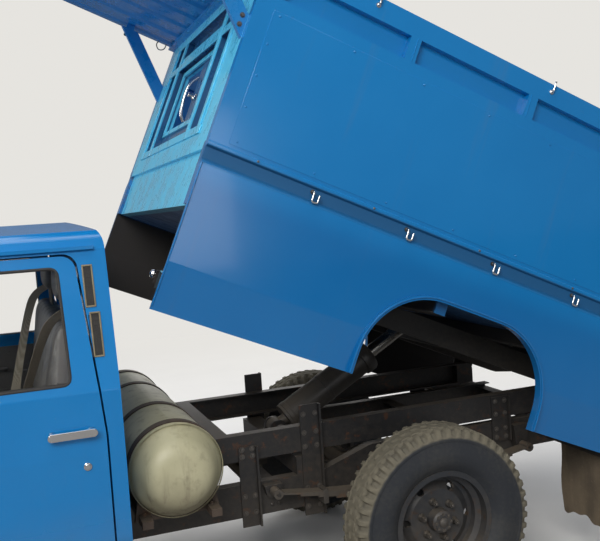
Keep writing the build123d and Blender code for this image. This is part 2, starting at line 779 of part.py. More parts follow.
def cab_section(inset):
    """The cab's cross-section in Y and Z, inset all round."""
    i = inset
    return symmetric([
        (CAB_HALF - 25 - i, CAB_SILL_Z, 0),
        (CAB_HALF - 5 - i, CAB_SILL_Z + 120, 120),
        (CAB_HALF - i, CAB_CREASE_Z, 0),
        (CAB_HALF - 5 - i, BELT_Z, 30),
        (GUTTER_HALF - i, GUTTER_Z, 0),
        (GUTTER_HALF - 32 - i, ROOF_Z - 38 - i, 55),
        (0, ROOF_Z - i, 0),
    ])


def skin_y(z):
    """Half the cab's width at a height between crease and belt."""
    return CAB_HALF - 5 * max(0, z - CAB_CREASE_Z) / (BELT_Z - CAB_CREASE_Z)


def cab_profile(inset):
    """The cab's side outline in X and Z, inset all round."""
    i = inset
    return [
        (CAB_REAR_X + i, CAB_SILL_Z, 0),
        (CAB_REAR_X + i, ROOF_Z + 6 - i, 100),
        (SCREEN_TOP_X - 0.6 * i, ROOF_Z + 6 - i, 130),
        (COWL_X - 1.1 * i, COWL_Z, 0),
        (COWL_X - 1.1 * i, COWL_Z - 40 - i, 0),
        (CAB_FRONT_X - i, COWL_Z - 40 - i, 0),
        (CAB_FRONT_X - i, CAB_SILL_Z, 0),
    ]


def cab_block(inset):
    """The cab as a solid block, inset all round."""
    block = cross_plate(cab_section(inset), CAB_REAR_X - 50, COWL_X + 50)
    return block & side_plate(cab_profile(inset), -CAB_HALF - 50, CAB_HALF + 50)


def door_rows(grow):
    """The door's side outline in X and Z, grown all round."""
    g = grow
    return [
        (DOOR_REAR_X - g, DOOR_BOTTOM_Z - g, 45),
        (DOOR_FRONT_X + g, DOOR_BOTTOM_Z - g, 30),
        (DOOR_FRONT_X + g, BELT_Z + 10, 30),
        (DOOR_FRONT_X - 195 + g, WINDOW_TOP_Z + 40 + g, 50),
        (DOOR_REAR_X + DOOR_LEAN - g, WINDOW_TOP_Z + 40 + g, 50),
        (DOOR_REAR_X - g, CAB_CREASE_Z + 60, 200),
    ]


def window_rows(grow):
    """The door window's outline in X and Z, grown all round."""
    g = grow
    return [
        (WINDOW_REAR_X - g, WINDOW_BOTTOM_Z - g, 18),
        (DOOR_FRONT_X - 72 + g, WINDOW_BOTTOM_Z - g, 18),
        (DOOR_FRONT_X - 240 + g, WINDOW_TOP_Z + g, 30),
        (WINDOW_REAR_X + 8 - g, WINDOW_TOP_Z + g, 30),
    ]


def screen_rows(grow):
    """The windscreen's outline in Y and Z, grown all round."""
    g = grow
    return symmetric([
        (GUTTER_HALF + 18 + g, COWL_Z + 45 - g, 40),
        (GUTTER_HALF - 92 + g, GUTTER_Z - 25 + g, 50),
    ])


def back_window_rows(grow):
    """The rear window's outline in Y and Z, grown all round."""
    g = grow
    return symmetric([
        (GUTTER_HALF - 162 + g, BELT_Z + 60 - g, 50),
        (GUTTER_HALF - 202 + g, GUTTER_Z - 85 + g, 50),
    ])


def cab_skin():
    """The hollow cab before doors and windows are cut."""
    skin = cab_block(0)
    room = cab_block(CAB_WALL) & box(CAB_REAR_X, COWL_X, -CAB_HALF, CAB_HALF, FLOOR_Z + FLOOR_PLATE, ROOF_Z)
    skin -= room
    low = box(CAB_REAR_X - 1, CAB_FRONT_X + 1, -CAB_HALF + 75, CAB_HALF - 75, CAB_SILL_Z - 1, FLOOR_Z)
    return skin - low


def vent_slot(z):
    """The recess of one of the left rear pillar's vents, square to the leaning pillar."""
    lean = degrees(atan2(CAB_HALF - 5 - GUTTER_HALF, GUTTER_Z - BELT_Z))
    y = CAB_HALF - 5 - (z - BELT_Z) * (CAB_HALF - 5 - GUTTER_HALF) / (GUTTER_Z - BELT_Z)
    return Pos(VENT_X, y, z) * Rot(lean, 0, 0) * Box(VENT_WIDTH, 2 * VENT_DEPTH, VENT_HEIGHT)


def cab_body():
    """Floor, sills, pillars, rear wall and cowl, with door and window openings."""
    body = cab_skin() & box(CAB_REAR_X - 1, COWL_X + 1, -CAB_HALF - 1, CAB_HALF + 1, CAB_SILL_Z - 1, GUTTER_Z)
    for side in (-1, 1):
        doorway = side_plate(door_rows(DOOR_GAP), *DOOR_DEPTH) - cab_block(CAB_WALL + DOOR_GAP)
        body -= doorway if side > 0 else other_side(doorway)
    behind_wings = box(DOOR_FRONT_X + DOOR_GAP, COWL_X + 20, -900, 900, CAB_SILL_Z - 5, COWL_Z - 38)
    body -= behind_wings - cross_plate(front_section(SKIN + 3), DOOR_FRONT_X, COWL_X + 10)
    body -= cross_plate(screen_rows(0), SCREEN_TOP_X - 60, COWL_X + 60)
    body -= cross_plate(back_window_rows(0), CAB_REAR_X - 10, CAB_REAR_X + CAB_WALL + 10)
    for side in (-1, 1):
        for z in VENT_HEIGHTS:
            body -= vent_slot(z) if side > 0 else other_side(vent_slot(z))
        for x in (CAB_REAR_X + 95, CAB_FRONT_X - 150):
            y = side * (RAIL_OUT - RAIL_FLANGE / 2)
            body += rod((x, y, RAIL_TOP_MID), (x, y, FLOOR_Z + 5), 32)
    return body


def cab_roof():
    """The roof panel with its drip gutter."""
    roof = cab_skin() & box(CAB_REAR_X - 1, COWL_X + 1, -CAB_HALF, CAB_HALF, GUTTER_Z, ROOF_Z + 10)
    band = box(CAB_REAR_X + 40, SCREEN_TOP_X + 40, GUTTER_HALF - 30, GUTTER_HALF + 14, GUTTER_Z, GUTTER_Z + 12)
    roof += band + other_side(band)
    return roof


def cab_glass():
    """Windscreen and rear window."""
    pane = side_plate(cab_profile(SKIN), -CAB_HALF, CAB_HALF)
    pane -= side_plate(cab_profile(SKIN + GLASS), -CAB_HALF - 1, CAB_HALF + 1)
    pane &= cross_plate(screen_rows(-SEAT_GAP), SCREEN_TOP_X - 40, COWL_X + 40)
    pane &= box(SCREEN_TOP_X - 60, COWL_X + 40, -CAB_HALF, CAB_HALF, COWL_Z, GUTTER_Z)
    back = cross_plate(back_window_rows(-SEAT_GAP), CAB_REAR_X + 18, CAB_REAR_X + 18 + GLASS)
    return group(pane, back)


def door():
    """The left door: the cab's own skin cut to the door's outline, with its window cut out."""
    leaf = cab_shell(0, CAB_WALL) & side_plate(door_rows(0), *DOOR_DEPTH)
    leaf &= box(DOOR_REAR_X - 10, DOOR_FRONT_X, *DOOR_DEPTH, DOOR_BOTTOM_Z, GUTTER_Z)
    return leaf - side_plate(window_rows(0), *DOOR_DEPTH)


def quarter_glass():
    """The left door's fixed front quarter pane behind its divider."""
    split = DOOR_FRONT_X - 330
    pane = cab_shell(18, GLASS)
    pane &= side_plate(window_rows(-SEAT_GAP), *DOOR_DEPTH)
    pane &= box(split, DOOR_FRONT_X, *DOOR_DEPTH, WINDOW_BOTTOM_Z, WINDOW_TOP_Z)
    return pane


def door_fittings():
    """The left door's pull handle and its mirror on an arm."""
    x = HANDLE_X
    z = HANDLE_Z
    skin = skin_y(z - 12) + SEAT_GAP
    handle = box(x - 78, x + 78, skin + 12, skin + 24, z - 12, z + 12)
    for end in (-1, 1):
        handle += box(x + end * 64 - 14, x + end * 64 + 14, skin, skin + 14, z - 12, z + 12)
    mirror_x = DOOR_FRONT_X - 60
    foot_z = BELT_Z - 55
    skin = skin_y(foot_z - 20) + SEAT_GAP
    arm = box(mirror_x - 30, mirror_x + 30, skin, skin + 8, foot_z - 20, foot_z + 20)
    arm += rod((mirror_x, skin + 7, foot_z), (mirror_x + 20, skin + 95, foot_z + 130), 8)
    head = box(mirror_x + 8, mirror_x + 36, skin + 60, skin + 210, foot_z + 110, foot_z + 310)
    return group(handle, arm + fillet(head.edges().filter_by(Axis.X), 25))


# Front end
def front_section(inset):
    """The front end's cross-section in Y and Z, inset all round."""
    i = inset
    return symmetric([
        (CAB_HALF - 35 - i, WING_BOTTOM_Z - 30, 0),
        (CAB_HALF - 5 - i, CAB_SILL_Z + 120, 120),
        (CAB_HALF - i, CAB_CREASE_Z, 0),
        (CAB_HALF - 28 - i, COWL_Z - 62 - i, 50),
        (HOOD_HALF - 20, COWL_Z - 22 - i, 90),
        (0, COWL_Z - i, 0),
    ])


def front_block(inset):
    """The front end as a solid block, inset all round."""
    i = inset
    start = DOOR_FRONT_X + DOOR_HINGE_GAP
    block = cross_plate(front_section(i), start - 25, NOSE_X + 20)
    block &= side_plate([
        (start - (i and 20), WING_BOTTOM_Z - (i and 40), 0),
        (start - (i and 20), COWL_Z + 5 - i, 0),
        (COWL_X, COWL_Z + 5 - i, 0),
        (NOSE_X - i, NOSE_Z - i, 70),
        (NOSE_X - i, GRILLE_BOTTOM_Z - 60 - (i and 40), 0),
        (NOSE_X - 60, WING_BOTTOM_Z - (i and 40), 0),
    ], -900, 900)
    block &= plan_plate([
        (DOOR_FRONT_X - 50, -900, 0),
        (NOSE_X - 90 - i, -900, 0),
        (NOSE_X - i, -GRILLE_HALF - 60, 90),
        (NOSE_X - i, GRILLE_HALF + 60, 90),
        (NOSE_X - 90 - i, 900, 0),
        (DOOR_FRONT_X - 50, 900, 0),
    ], 300, 1300)
    return block


def front_shell():
    """The front end's outer skin with open wheel arches."""
    shell = front_block(0) - front_block(SKIN)
    shell -= box(DOOR_FRONT_X, COWL_X + 2, -900, 900, COWL_Z - 42, COWL_Z + 60)
    shell -= box(DOOR_FRONT_X, COWL_X + 2, -CAB_HALF + 30, CAB_HALF - 30, 400, COWL_Z + 60)
    arch = rod((WHEELBASE, -900, TYRE_R), (WHEELBASE, 900, TYRE_R), ARCH_R)
    shell -= box(DOOR_FRONT_X + 90, NOSE_X - 70, -900, 900, 300, WING_BOTTOM_Z + 30)
    shell -= box(NOSE_X - 115, NOSE_X + 50, -900, 900, 300, BUMPER_Z[1] + 8)
    return shell - arch


def hood_space(gap):
    """The room that the hood takes, with a gap all round."""
    g = gap
    rise = side_plate([
        (COWL_X + HOOD_GAP - g, HOOD_LIP_Z - g + 40, 0),
        (NOSE_X - 140, HOOD_LIP_Z - g, 0),
        (NOSE_X + 60, HOOD_LIP_Z - g, 0),
        (NOSE_X + 60, COWL_Z + 60, 0),
        (COWL_X + HOOD_GAP - g, COWL_Z + 60, 0),
    ], -HOOD_HALF - g, HOOD_HALF + g)
    return rise


def hood():
    """The hood, hinged at the cowl, with its lip over the grille."""
    return front_shell() & hood_space(0)


def grille_space(grow):
    """The room that the grille panel takes in the nose."""
    return box(NOSE_X - 40, NOSE_X + 40, -GRILLE_HALF - grow, GRILLE_HALF + grow,
               GRILLE_BOTTOM_Z - grow, HOOD_LIP_Z - DOOR_GAP + grow)


def front_wings():
    """Both wings with the valance below the grille."""
    wings = front_shell() - hood_space(DOOR_GAP) - grille_space(0.3)
    for side in (-1, 1):
        y0 = side * (CAB_HALF - 8)
        y1 = side * (CAB_HALF - 30)
        lip = tube((WHEELBASE, y0, TYRE_R), (WHEELBASE, y1, TYRE_R), ARCH_R + ARCH_LIP, ARCH_R)
        wings += lip & box(DOOR_FRONT_X + 90, NOSE_X, -900, 900, WING_BOTTOM_Z + 31, 1200)
        for z in DOOR_HINGE_HEIGHTS:
            y = side * DOOR_HINGE_Y
            wings += rod((DOOR_HINGE_X, y, z), (DOOR_HINGE_X, y, z + DOOR_HINGE_LENGTH), DOOR_HINGE_R)
            y -= side * 6
            wings += box(DOOR_HINGE_X + 1, DOOR_HINGE_X + 14, y - 5, y + 6, z, z + DOOR_HINGE_LENGTH)
        a, b = [side * y for y in HOOD_PIN_Y]
        wings += rod((HOOD_PIN_X, a, HOOD_PIN_Z), (HOOD_PIN_X, b, HOOD_PIN_Z), HOOD_PIN_R)
    return wings


def grille_panel():
    """The grille: a panel with lamp holes and horizontal bars."""
    panel = box(NOSE_X - 14, NOSE_X - 0.5, -GRILLE_HALF, GRILLE_HALF, GRILLE_BOTTOM_Z, HOOD_LIP_Z - DOOR_GAP)
    low = GRILLE_BOTTOM_Z + 45
    high = HOOD_LIP_Z - DOOR_GAP - 45
    half = LAMP_Y - LAMP_R - 40
    panel -= box(NOSE_X - 30, NOSE_X + 30, -half, half, low, high)
    pitch = (high - low) / (GRILLE_BARS + 1)
    for i in range(GRILLE_BARS):
        z = low + pitch * (i + 1)
        panel += box(NOSE_X - 22, NOSE_X - 4, -half, half, z - 5, z + 5)
    for y in (-half / 2, 0, half / 2):
        panel += box(NOSE_X - 30, NOSE_X - 12, y - 6, y + 6, low, high)
    for side in (-1, 1):
        hole = rod((NOSE_X - 60, side * LAMP_Y, LAMP_Z), (NOSE_X + 60, side * LAMP_Y, LAMP_Z), LAMP_R)
        panel -= hole
    return panel


def headlamps():
    """Two round headlamps, domed in front, with a tapered bowl behind."""
    r = LAMP_R - SEAT_GAP
    return both_sides(long_turned([
        (-80, 0, 0),
        (-80, 45, 20),
        (-20, r, 0),
        (-2, r, 0),
        (14, r * 0.55, 60),
        (16, 0, 0),
    ], NOSE_X, LAMP_Y, LAMP_Z))


def radiator():
    """The radiator on the rails behind the grille."""
    x0, x1 = RADIATOR_X
    core = box(x0, x1, -RADIATOR_HALF, RADIATOR_HALF, RAIL_TOP_FRONT - 70, RADIATOR_TOP_Z)
    return core + box(x0 + 10, x1 - 10, -RAIL_OUT, RAIL_OUT, RAIL_TOP_FRONT, RAIL_TOP_FRONT + 40)


def front_bumper():
    """A channel bumper with swept ends, on two brackets from the rails."""
    z0, z1 = BUMPER_Z
    x = NOSE_X + 12
    bar = plan_plate([
        (x, -BUMPER_HALF + 120, 60),
        (x, BUMPER_HALF - 120, 60),
        (x - 90, BUMPER_HALF, 0),
        (x - 90 + 40, BUMPER_HALF + 20, 10),
        (x + BUMPER_STEEL + 18, BUMPER_HALF - 110, 70),
        (x + BUMPER_STEEL + 18, -BUMPER_HALF + 110, 70),
        (x - 90 + 40, -BUMPER_HALF - 20, 10),
        (x - 90, -BUMPER_HALF, 0),
    ], z0, z1)
    for side in (-1, 1):
        y = side * (RAIL_OUT - RAIL_FLANGE / 2)
        bar += box(RAIL_FRONT_X, x + 5, y - 25, y + 25, z0 + 20, z1 - 10)
    return bar


# Cab interior
def dashboard():
    """The dashboard across the cab, ahead of the seat."""
    x1 = CAB_FRONT_X - CAB_WALL - SEAT_GAP
    half = CAB_HALF - 95
    return side_plate([
        (x1, 880, 0),
        (x1, BELT_Z - 70, 0),
        (x1 - 60, BELT_Z - 20, 30),
        (x1 - 150, BELT_Z - 20, 40),
        (x1 - 210, BELT_Z - 110, 30),
        (x1 - 150, 900, 30),
    ], -half, half)


def bench_seat():
    """A bench seat with a leaning back and two head restraints."""
    floor = FLOOR_Z + FLOOR_PLATE
    x = CAB_REAR_X + CAB_WALL + 25
    half = CAB_HALF - 135
    seat = side_plate([
        (x + 90, floor + SEAT_GAP, 0),
        (x + 560, floor + SEAT_GAP, 0),
        (x + 590, floor + 190, 30),
        (x + 570, floor + 240, 25),
        (x + 190, floor + 210, 20),
        (x + 110, floor + 700, 25),
        (x + 5, floor + 700, 25),
        (x + 60, floor + 150, 40),
    ], -half, half)
    for side in (-1, 1):
        y = side * 370
        seat += cross_plate([
            (y - 130, floor + 740, 30),
            (y + 130, floor + 740, 30),
            (y + 120, floor + 880, 45),
            (y - 120, floor + 880, 45),
        ], x + 20, x + 95)
        for dy in (-50, 50):
            seat += rod((x + 58, y + dy, floor + 690), (x + 58, y + dy, floor + 760), 7)
    return seat


def along_column(s):
    """A point on the steering column, s below the steering wheel's centre."""
    lean = radians(COLUMN_LEAN)
    return (WHEEL_X + s * cos(lean), WHEEL_Y, WHEEL_Z - s * sin(lean))


def steering_column():
    """The steering column from the wheel down to the toe board."""
    foot = (CAB_FRONT_X - CAB_WALL - 18 - WHEEL_X) / cos(radians(COLUMN_LEAN))
    column = rod(along_column(52), along_column(foot), 22)
    return column + rod(along_column(52), along_column(190), 40) - dashboard()


def steering_wheel():
    """The steering wheel with three spokes and a hub."""
    lean = radians(COLUMN_LEAN)
    plane = Plane(origin=along_column(0), z_dir=(-cos(lean), 0, sin(lean)))
    ring = plane * Torus(STEERING_R, 13)
    ring += rod(along_column(-8), along_column(51.5), 34)
    for angle in (90, 210, 330):
        spoke = plane * (Rot(0, 0, angle) * (Pos(STEERING_R / 2, 0, -6) * Box(STEERING_R, 24, 10)))
        ring += spoke
    return ring


# Bed, modelled lying flat
def bed_panel_rows():
    """The bed side's section in Y and Z: skirt, crease, recessed band, rail and inner wall."""
    out = BED_HALF
    crease = SKIRT_Z + BED_CREASE_UP
    band = BED_RAIL_Z - BED_BAND
    return [
        (out - 16, SKIRT_Z, 0),
        (out, crease, 60),
        (out - 3, band, 8),
        (out - 3 - BED_BAND_INSET, band + 10, 8),
        (out - 3 - BED_BAND_INSET, BED_RAIL_Z - 24, 0),
        (out, BED_RAIL_Z - 18, 6),
        (out, BED_RAIL_Z, 6),
        (out - BED_WALL, BED_RAIL_Z, 0),
        (out - BED_WALL, BED_FLOOR_Z, 0),
        (out - SKIRT_STEEL, BED_FLOOR_Z, 0),
        (out - SKIRT_STEEL, crease, 60),
        (out - 16 - SKIRT_STEEL, SKIRT_Z, 0),
    ]


def bed_arch_rows(grow):
    """The wheel arch's outline in X and Z, grown all round."""
    g = grow
    x1 = BED_FRONT_X - BED_ARCH_FRONT
    x0 = BED_FRONT_X - BED_ARCH_REAR
    top = SKIRT_Z + BED_ARCH_UP
    return [
        (x0 - g, SKIRT_Z - 20, 0),
        (x0 - g, top + g, BED_ARCH_CORNER),
        (x1 + g, top + g, BED_ARCH_CORNER),
        (x1 + g, SKIRT_Z - 20, 0),
    ]


def bed_side():
    """The left pressed side of the bed with its rolled arch lip."""
    panel = cross_plate(bed_panel_rows(), BED_REAR_X, BED_FRONT_X)
    reach = (BED_HALF - 40, BED_HALF + 20)
    panel -= side_plate(bed_arch_rows(0), *reach)
    lip = side_plate(bed_arch_rows(BED_ARCH_LIP), BED_HALF - 30, BED_HALF + 5)
    lip -= side_plate(bed_arch_rows(0), *reach)
    lip &= box(BED_REAR_X, BED_FRONT_X, 0, 900, SKIRT_Z, BED_FLOOR_Z)
    x, z = TAILGATE_PIN
    inner = BED_HALF - BED_WALL
    pin = rod((x, inner + 5, z), (x, inner - GATE_PIN_INTO, z), GATE_PIN_R)
    return panel + lip + pin


def bed_floor():
    """The load floor with cross ribs beneath."""
    inner = BED_HALF - BED_WALL
    floor = box(BED_REAR_X + GATE_THICK + GATE_GAP, BED_FRONT_X - WALL_THICK, -inner, inner, BED_FLOOR_Z,
                BED_FLOOR_Z + BED_FLOOR_PLATE)
    for x in BED_RIB_X:
        half = BED_RIB_WIDTH / 2
        floor += box(x - half, x + half, -inner, inner, BED_FLOOR_Z - BED_RIB_DEPTH, BED_FLOOR_Z)
    return floor


def bed_frame():
    """Two long beams under the floor, with the hinge ears and the ram's upper ears."""
    low = HOIST_TOP + BED_BEAM_CLEAR
    high = BED_FLOOR_Z - BED_RIB_DEPTH
    out = BED_BEAM_OUT
    beam = side_plate([
        (BED_REAR_X + 60, low + 30, 0),
        (BED_REAR_X + 160, low, 0),
        (BED_BEAM_FRONT_X, low, 0),
        (BED_BEAM_FRONT_X, high, 0),
        (BED_REAR_X + 60, high, 0),
    ], out - BED_BEAM_WIDTH, out)
    ear_in = RAIL_OUT + BED_BEAM_CLEAR
    ear = side_plate([
        (PIVOT_X - 90, high, 0),
        (PIVOT_X + 90, high, 0),
        (PIVOT_X + 38, PIVOT_Z - 38, 36),
        (PIVOT_X - 38, PIVOT_Z - 38, 36),
    ], ear_in, ear_in + EAR_STEEL)
    ear += box(PIVOT_X - 90, PIVOT_X + 90, out, ear_in + EAR_STEEL, low + 10, high)
    ear -= rod((PIVOT_X, out, PIVOT_Z), (PIVOT_X, ear_in + 50, PIVOT_Z), PIVOT_R + RUN_GAP)
    beam += ear
    eye_x = PIVOT_X + RAM_EYE_DX
    eye_z = PIVOT_Z + RAM_EYE_DZ
    yoke = box(eye_x - 150, eye_x - 90, -out + BED_BEAM_WIDTH, out - BED_BEAM_WIDTH, low + 5, high)
    for side in (-1, 1):
        y = side * (RAM_EYE_WIDTH / 2 + 3 + POST_STEEL)
        yoke += side_plate([
            (eye_x - 120, high, 0),
            (eye_x - 120, eye_z - 40, 20),
            (eye_x + 34, eye_z - 40, 30),
            (eye_x + 34, eye_z + 34, 30),
            (eye_x - 40, high, 0),
        ], y - POST_STEEL, y + POST_STEEL)
        head = side * (RAM_EYE_WIDTH / 2 + 3 + 2 * POST_STEEL)
        yoke += rod((eye_x, head, eye_z), (eye_x, head + side * 14, eye_z), RAM_PIN_R)
    return beam + other_side(beam) + yoke


def box_side():
    """The left sheet side above the bed: frame, flush sheet and a row of recessed bays."""
    x0 = BED_REAR_X
    x1 = BED_FRONT_X
    inner = BOX_HALF - BOX_FRAME
    side = box(x0, x1, inner, BOX_HALF, BED_RAIL_Z, BOX_TOP_Z)
    bay_low = BOX_SHEET_TOP_Z + BOX_MID_RAIL
    bay_high = BOX_TOP_Z - BOX_TOP_RAIL
    pitch = (x1 - x0 - BOX_POST - BOX_POST + BOX_STILE) / BOX_BAYS
    for i in range(BOX_BAYS):
        start = x1 - BOX_POST - i * pitch
        side -= box(start - pitch + BOX_STILE, start, inner + 8, BOX_HALF + 1, bay_low, bay_high)
    side -= box(x0 + BOX_POST, x1 - BOX_POST, inner - 1, inner + BOX_SHEET, BED_RAIL_Z + 40, BOX_SHEET_TOP_Z)
    x, z = UPPER_GATE_PIN
    return side + rod((x, inner + 5, z), (x, inner - GATE_PIN_INTO, z), GATE_PIN_R)


def bed_front_wall():
    """The front wall: lower panel, ledge, and a framed upper part with bars and a window."""
    x1 = BED_FRONT_X
    x0 = x1 - WALL_THICK
    lower = box(x0, x1 - 14, -(BED_HALF - BED_WALL), BED_HALF - BED_WALL, BED_FLOOR_Z, BED_RAIL_Z)
    ledge = box(x0, x1, -(BED_HALF - BED_WALL), BED_HALF - BED_WALL, BED_RAIL_Z - 30, BED_RAIL_Z + 25)
    inner = BOX_HALF - BOX_FRAME
    upper = box(x0, x1, -inner, inner, BED_RAIL_Z, BOX_TOP_Z)
    # Y from, Y to, Z from, Z to, depth of the recess from the front
    recess_table = [
        (420, 560, BED_RAIL_Z + 80, BOX_TOP_Z - 100, 30),
        (-560, -420, BED_RAIL_Z + 80, BOX_TOP_Z - 100, 30),
        (-380, 380, BOX_TOP_Z - 190, BOX_TOP_Z - 100, 30),
        (-380, 380, BED_RAIL_Z + 80, BOX_TOP_Z - 240, 30),
    ]
    for y0, y1, z0, z1, depth in recess_table:
        upper -= box(x1 - depth, x1 + 1, y0, y1, z0, z1)
    upper -= box(x0 - 1, x1 + 1, -330, 330, BED_RAIL_Z + 170, BOX_TOP_Z - 280)
    return lower + ledge + upper


def tail_frame():
    """The top cross rail at the rear, with a corner plate at each end."""
    inner = BOX_HALF - BOX_FRAME
    return box(BED_REAR_X, BED_REAR_X + 60, -inner, inner, BOX_TOP_Z - BOX_TOP_RAIL, BOX_TOP_Z)


def visor():
    """The ribbed visor over the cab, with a slanting strut each side down to the front wall."""
    x0 = BED_FRONT_X
    x1 = BED_FRONT_X + VISOR_LENGTH
    top = VISOR_Z + VISOR_THICK
    low = top - VISOR_RIB_RISE
    pitch = 2 * BED_HALF / VISOR_RIBS
    rows = [(-BED_HALF, low, 0)]
    for i in range(VISOR_RIBS):
        y = -BED_HALF + i * pitch
        rows += [
            (y + pitch * 0.2, low, 0),
            (y + pitch * 0.32, top, 0),
            (y + pitch * 0.68, top, 0),
            (y + pitch * 0.8, low, 0),
        ]
    rows += [(BED_HALF, low, 0)]
    under = [(y, z - VISOR_SHEET, r) for y, z, r in reversed(rows)]
    sheet = cross_plate(rows + under, x0, x1)
    edge_low = VISOR_Z - 14
    for x in (x0, x1 - 30):
        sheet += box(x, x + 30, -BED_HALF, BED_HALF, edge_low, VISOR_Z + 6)
    strut = side_plate([
        (x0, edge_low - VISOR_STRUT - VISOR_STRUT_WIDTH, 0),
        (x0 + VISOR_STRUT + VISOR_STRUT_WIDTH, edge_low + 1, 0),
        (x0 + VISOR_STRUT, edge_low + 1, 0),
        (x0, edge_low - VISOR_STRUT, 0),
    ], BOX_HALF - 70, BOX_HALF - 45)
    x = x0 + VISOR_STRUT + VISOR_STRUT_WIDTH / 2
    strut += box(x - 20, x + 20, BOX_HALF - 70, BOX_HALF - 45, edge_low - 2, top - VISOR_SHEET / 2)
    return sheet + strut + other_side(strut)


def rope_hooks():
    """Rope hooks below the bed rail and on the top rail."""
    hooks = []
    for i in range(5):
        x = BED_FRONT_X - 442 - i * 412
        y = BED_HALF - 3 - BED_BAND_INSET
        z = BED_RAIL_Z - 50
        path = FilletPolyline(
            (x + 12, y, z + 14),
            (x + 12, y + HOOK_Y_OUT + 8, z + 14),
            (x + 12, y + HOOK_Y_OUT + 8, z - 24),
            (x - 12, y + HOOK_Y_OUT + 8, z - 24),
            (x - 12, y + HOOK_Y_OUT + 8, z + 6),
            radius=[7, 7, 7],
        )
        hooks.append(sweep(Plane(origin=path @ 0, z_dir=path % 0) * Circle(HOOK_R), path=path))
    return group(*[both_sides(hook) for hook in hooks])


def pin_holes(gate, place, half):
    """The gate with a blind hole at each end for its hinge pins."""
    x, z = place
    for side in (-1, 1):
        gate -= rod((x, side * (half + 1), z), (x, side * (half - GATE_PIN_INTO), z), GATE_PIN_R + RUN_GAP)
    return gate


def tailgate():
    """The lower gate, hinged along its bottom edge."""
    half = BED_HALF - BED_WALL - DOOR_GAP
    low = BED_FLOOR_Z
    gate = box(BED_REAR_X, BED_REAR_X + GATE_THICK, -half, half, low, BED_RAIL_Z - GATE_GAP / 2)
    for y in (-half / 2 - 20, half / 2 + 20):
        gate -= box(BED_REAR_X - 1, BED_REAR_X + 12, y - 320, y + 320, low + 50, BED_RAIL_Z - 50)
    return pin_holes(gate, TAILGATE_PIN, half)


def upper_gate():
    """The upper gate, hung from the top cross rail."""
    half = BOX_HALF - BOX_FRAME - DOOR_GAP
    low = BED_RAIL_Z + GATE_GAP / 2
    high = BOX_TOP_Z - BOX_TOP_RAIL - GATE_GAP
    gate = box(BED_REAR_X, BED_REAR_X + GATE_THICK, -half, half, low, high)
    for y in (-half / 2 - 20, half / 2 + 20):
        gate -= box(BED_REAR_X - 1, BED_REAR_X + 20, y - 330, y + 330, low + 60, high - 60)
    return pin_holes(gate, UPPER_GATE_PIN, half)


def hoist_barrel():
    """The ram's barrel with its foot eye and gland, at the angle of the raised bed."""
    plane = RAM_PLANE
    barrel = plane * extrude(Circle(RAM_BARREL_R), RAM_BARREL_LENGTH - 60).moved(Location((0, 0, 60)))
    barrel += plane * Pos(0, 0, 20) * Cylinder(26, 90)
    barrel += plane * Pos(0, 0, RAM_BARREL_LENGTH - 30) * Cylinder(RAM_BARREL_R + 6, 40)
    half = RAM_EYE_WIDTH / 2
    a = (RAM_FOOT_X, -half, RAM_FOOT_Z)
    b = (RAM_FOOT_X, half, RAM_FOOT_Z)
    barrel += rod(a, b, RAM_EYE_R)
    barrel -= rod(a, b, RAM_PIN_R + RUN_GAP)
    bore = plane * extrude(Circle(RAM_ROD_R + RUN_GAP), RAM_BARREL_LENGTH).moved(Location((0, 0, RAM_BORE_BOTTOM)))
    return barrel - bore


def hoist_rod():
    """The ram's chromed rod with its upper eye and pin."""
    rod_end = RAM_LENGTH - 20
    shaft = RAM_PLANE * extrude(Circle(RAM_ROD_R), rod_end - RAM_ROD_INNER).moved(Location((0, 0, RAM_ROD_INNER)))
    half = RAM_EYE_WIDTH / 2
    x, z = RAM_EYE
    return shaft + rod((x, -half, z), (x, half, z), RAM_EYE_R)


def mud_flaps():
    """Rubber mud flaps behind the rear wheels, hung from a bar on the frame."""
    y0, y1 = FLAP_Y
    z0, z1 = FLAP_Z
    flap = box(FLAP_X - FLAP_THICK, FLAP_X, y0, y1, z0, z1)
    bar = box(FLAP_X, FLAP_X + 25, RAIL_OUT, y1, z1 - 30, z1)
    return both_sides(flap + bar)


def rear_lamps():
    """Two rear lamps on a bar across the frame's end."""
    bar = box(RAIL_REAR_X - 12, RAIL_REAR_X, -640, 640, RAIL_TOP_REAR - 125, RAIL_TOP_REAR - 60)
    for side in (-1, 1):
        y = side * REAR_LAMP_Y
        lamp = box(RAIL_REAR_X - 50, RAIL_REAR_X - 12, y - REAR_LAMP_HALF, y + REAR_LAMP_HALF,
                   RAIL_TOP_REAR - 140, RAIL_TOP_REAR - 45)
        bar += fillet(lamp.edges().filter_by(Axis.X), 12)
    return bar


# Places that follow from the sizes
def bed_point(x, z, tilt):
    """Where a point of the flat bed goes when the bed is turned by tilt degrees."""
    turn = radians(tilt)
    dx = x - PIVOT_X
    dz = z - PIVOT_Z
    return (PIVOT_X + dx * cos(turn) - dz * sin(turn), PIVOT_Z + dx * sin(turn) + dz * cos(turn))


RAM_EYE = bed_point(PIVOT_X + RAM_EYE_DX, PIVOT_Z + RAM_EYE_DZ, BED_TILT)
RAM_RUN = (RAM_EYE[0] - RAM_FOOT_X, RAM_EYE[1] - RAM_FOOT_Z)
RAM_LENGTH = hypot(*RAM_RUN)
RAM_PLANE = Plane(origin=(RAM_FOOT_X, 0, RAM_FOOT_Z), z_dir=(RAM_RUN[0], 0, RAM_RUN[1]), x_dir=(0, 1, 0))
BED_HINGE = Axis((PIVOT_X, 0, PIVOT_Z), (0, -1, 0))

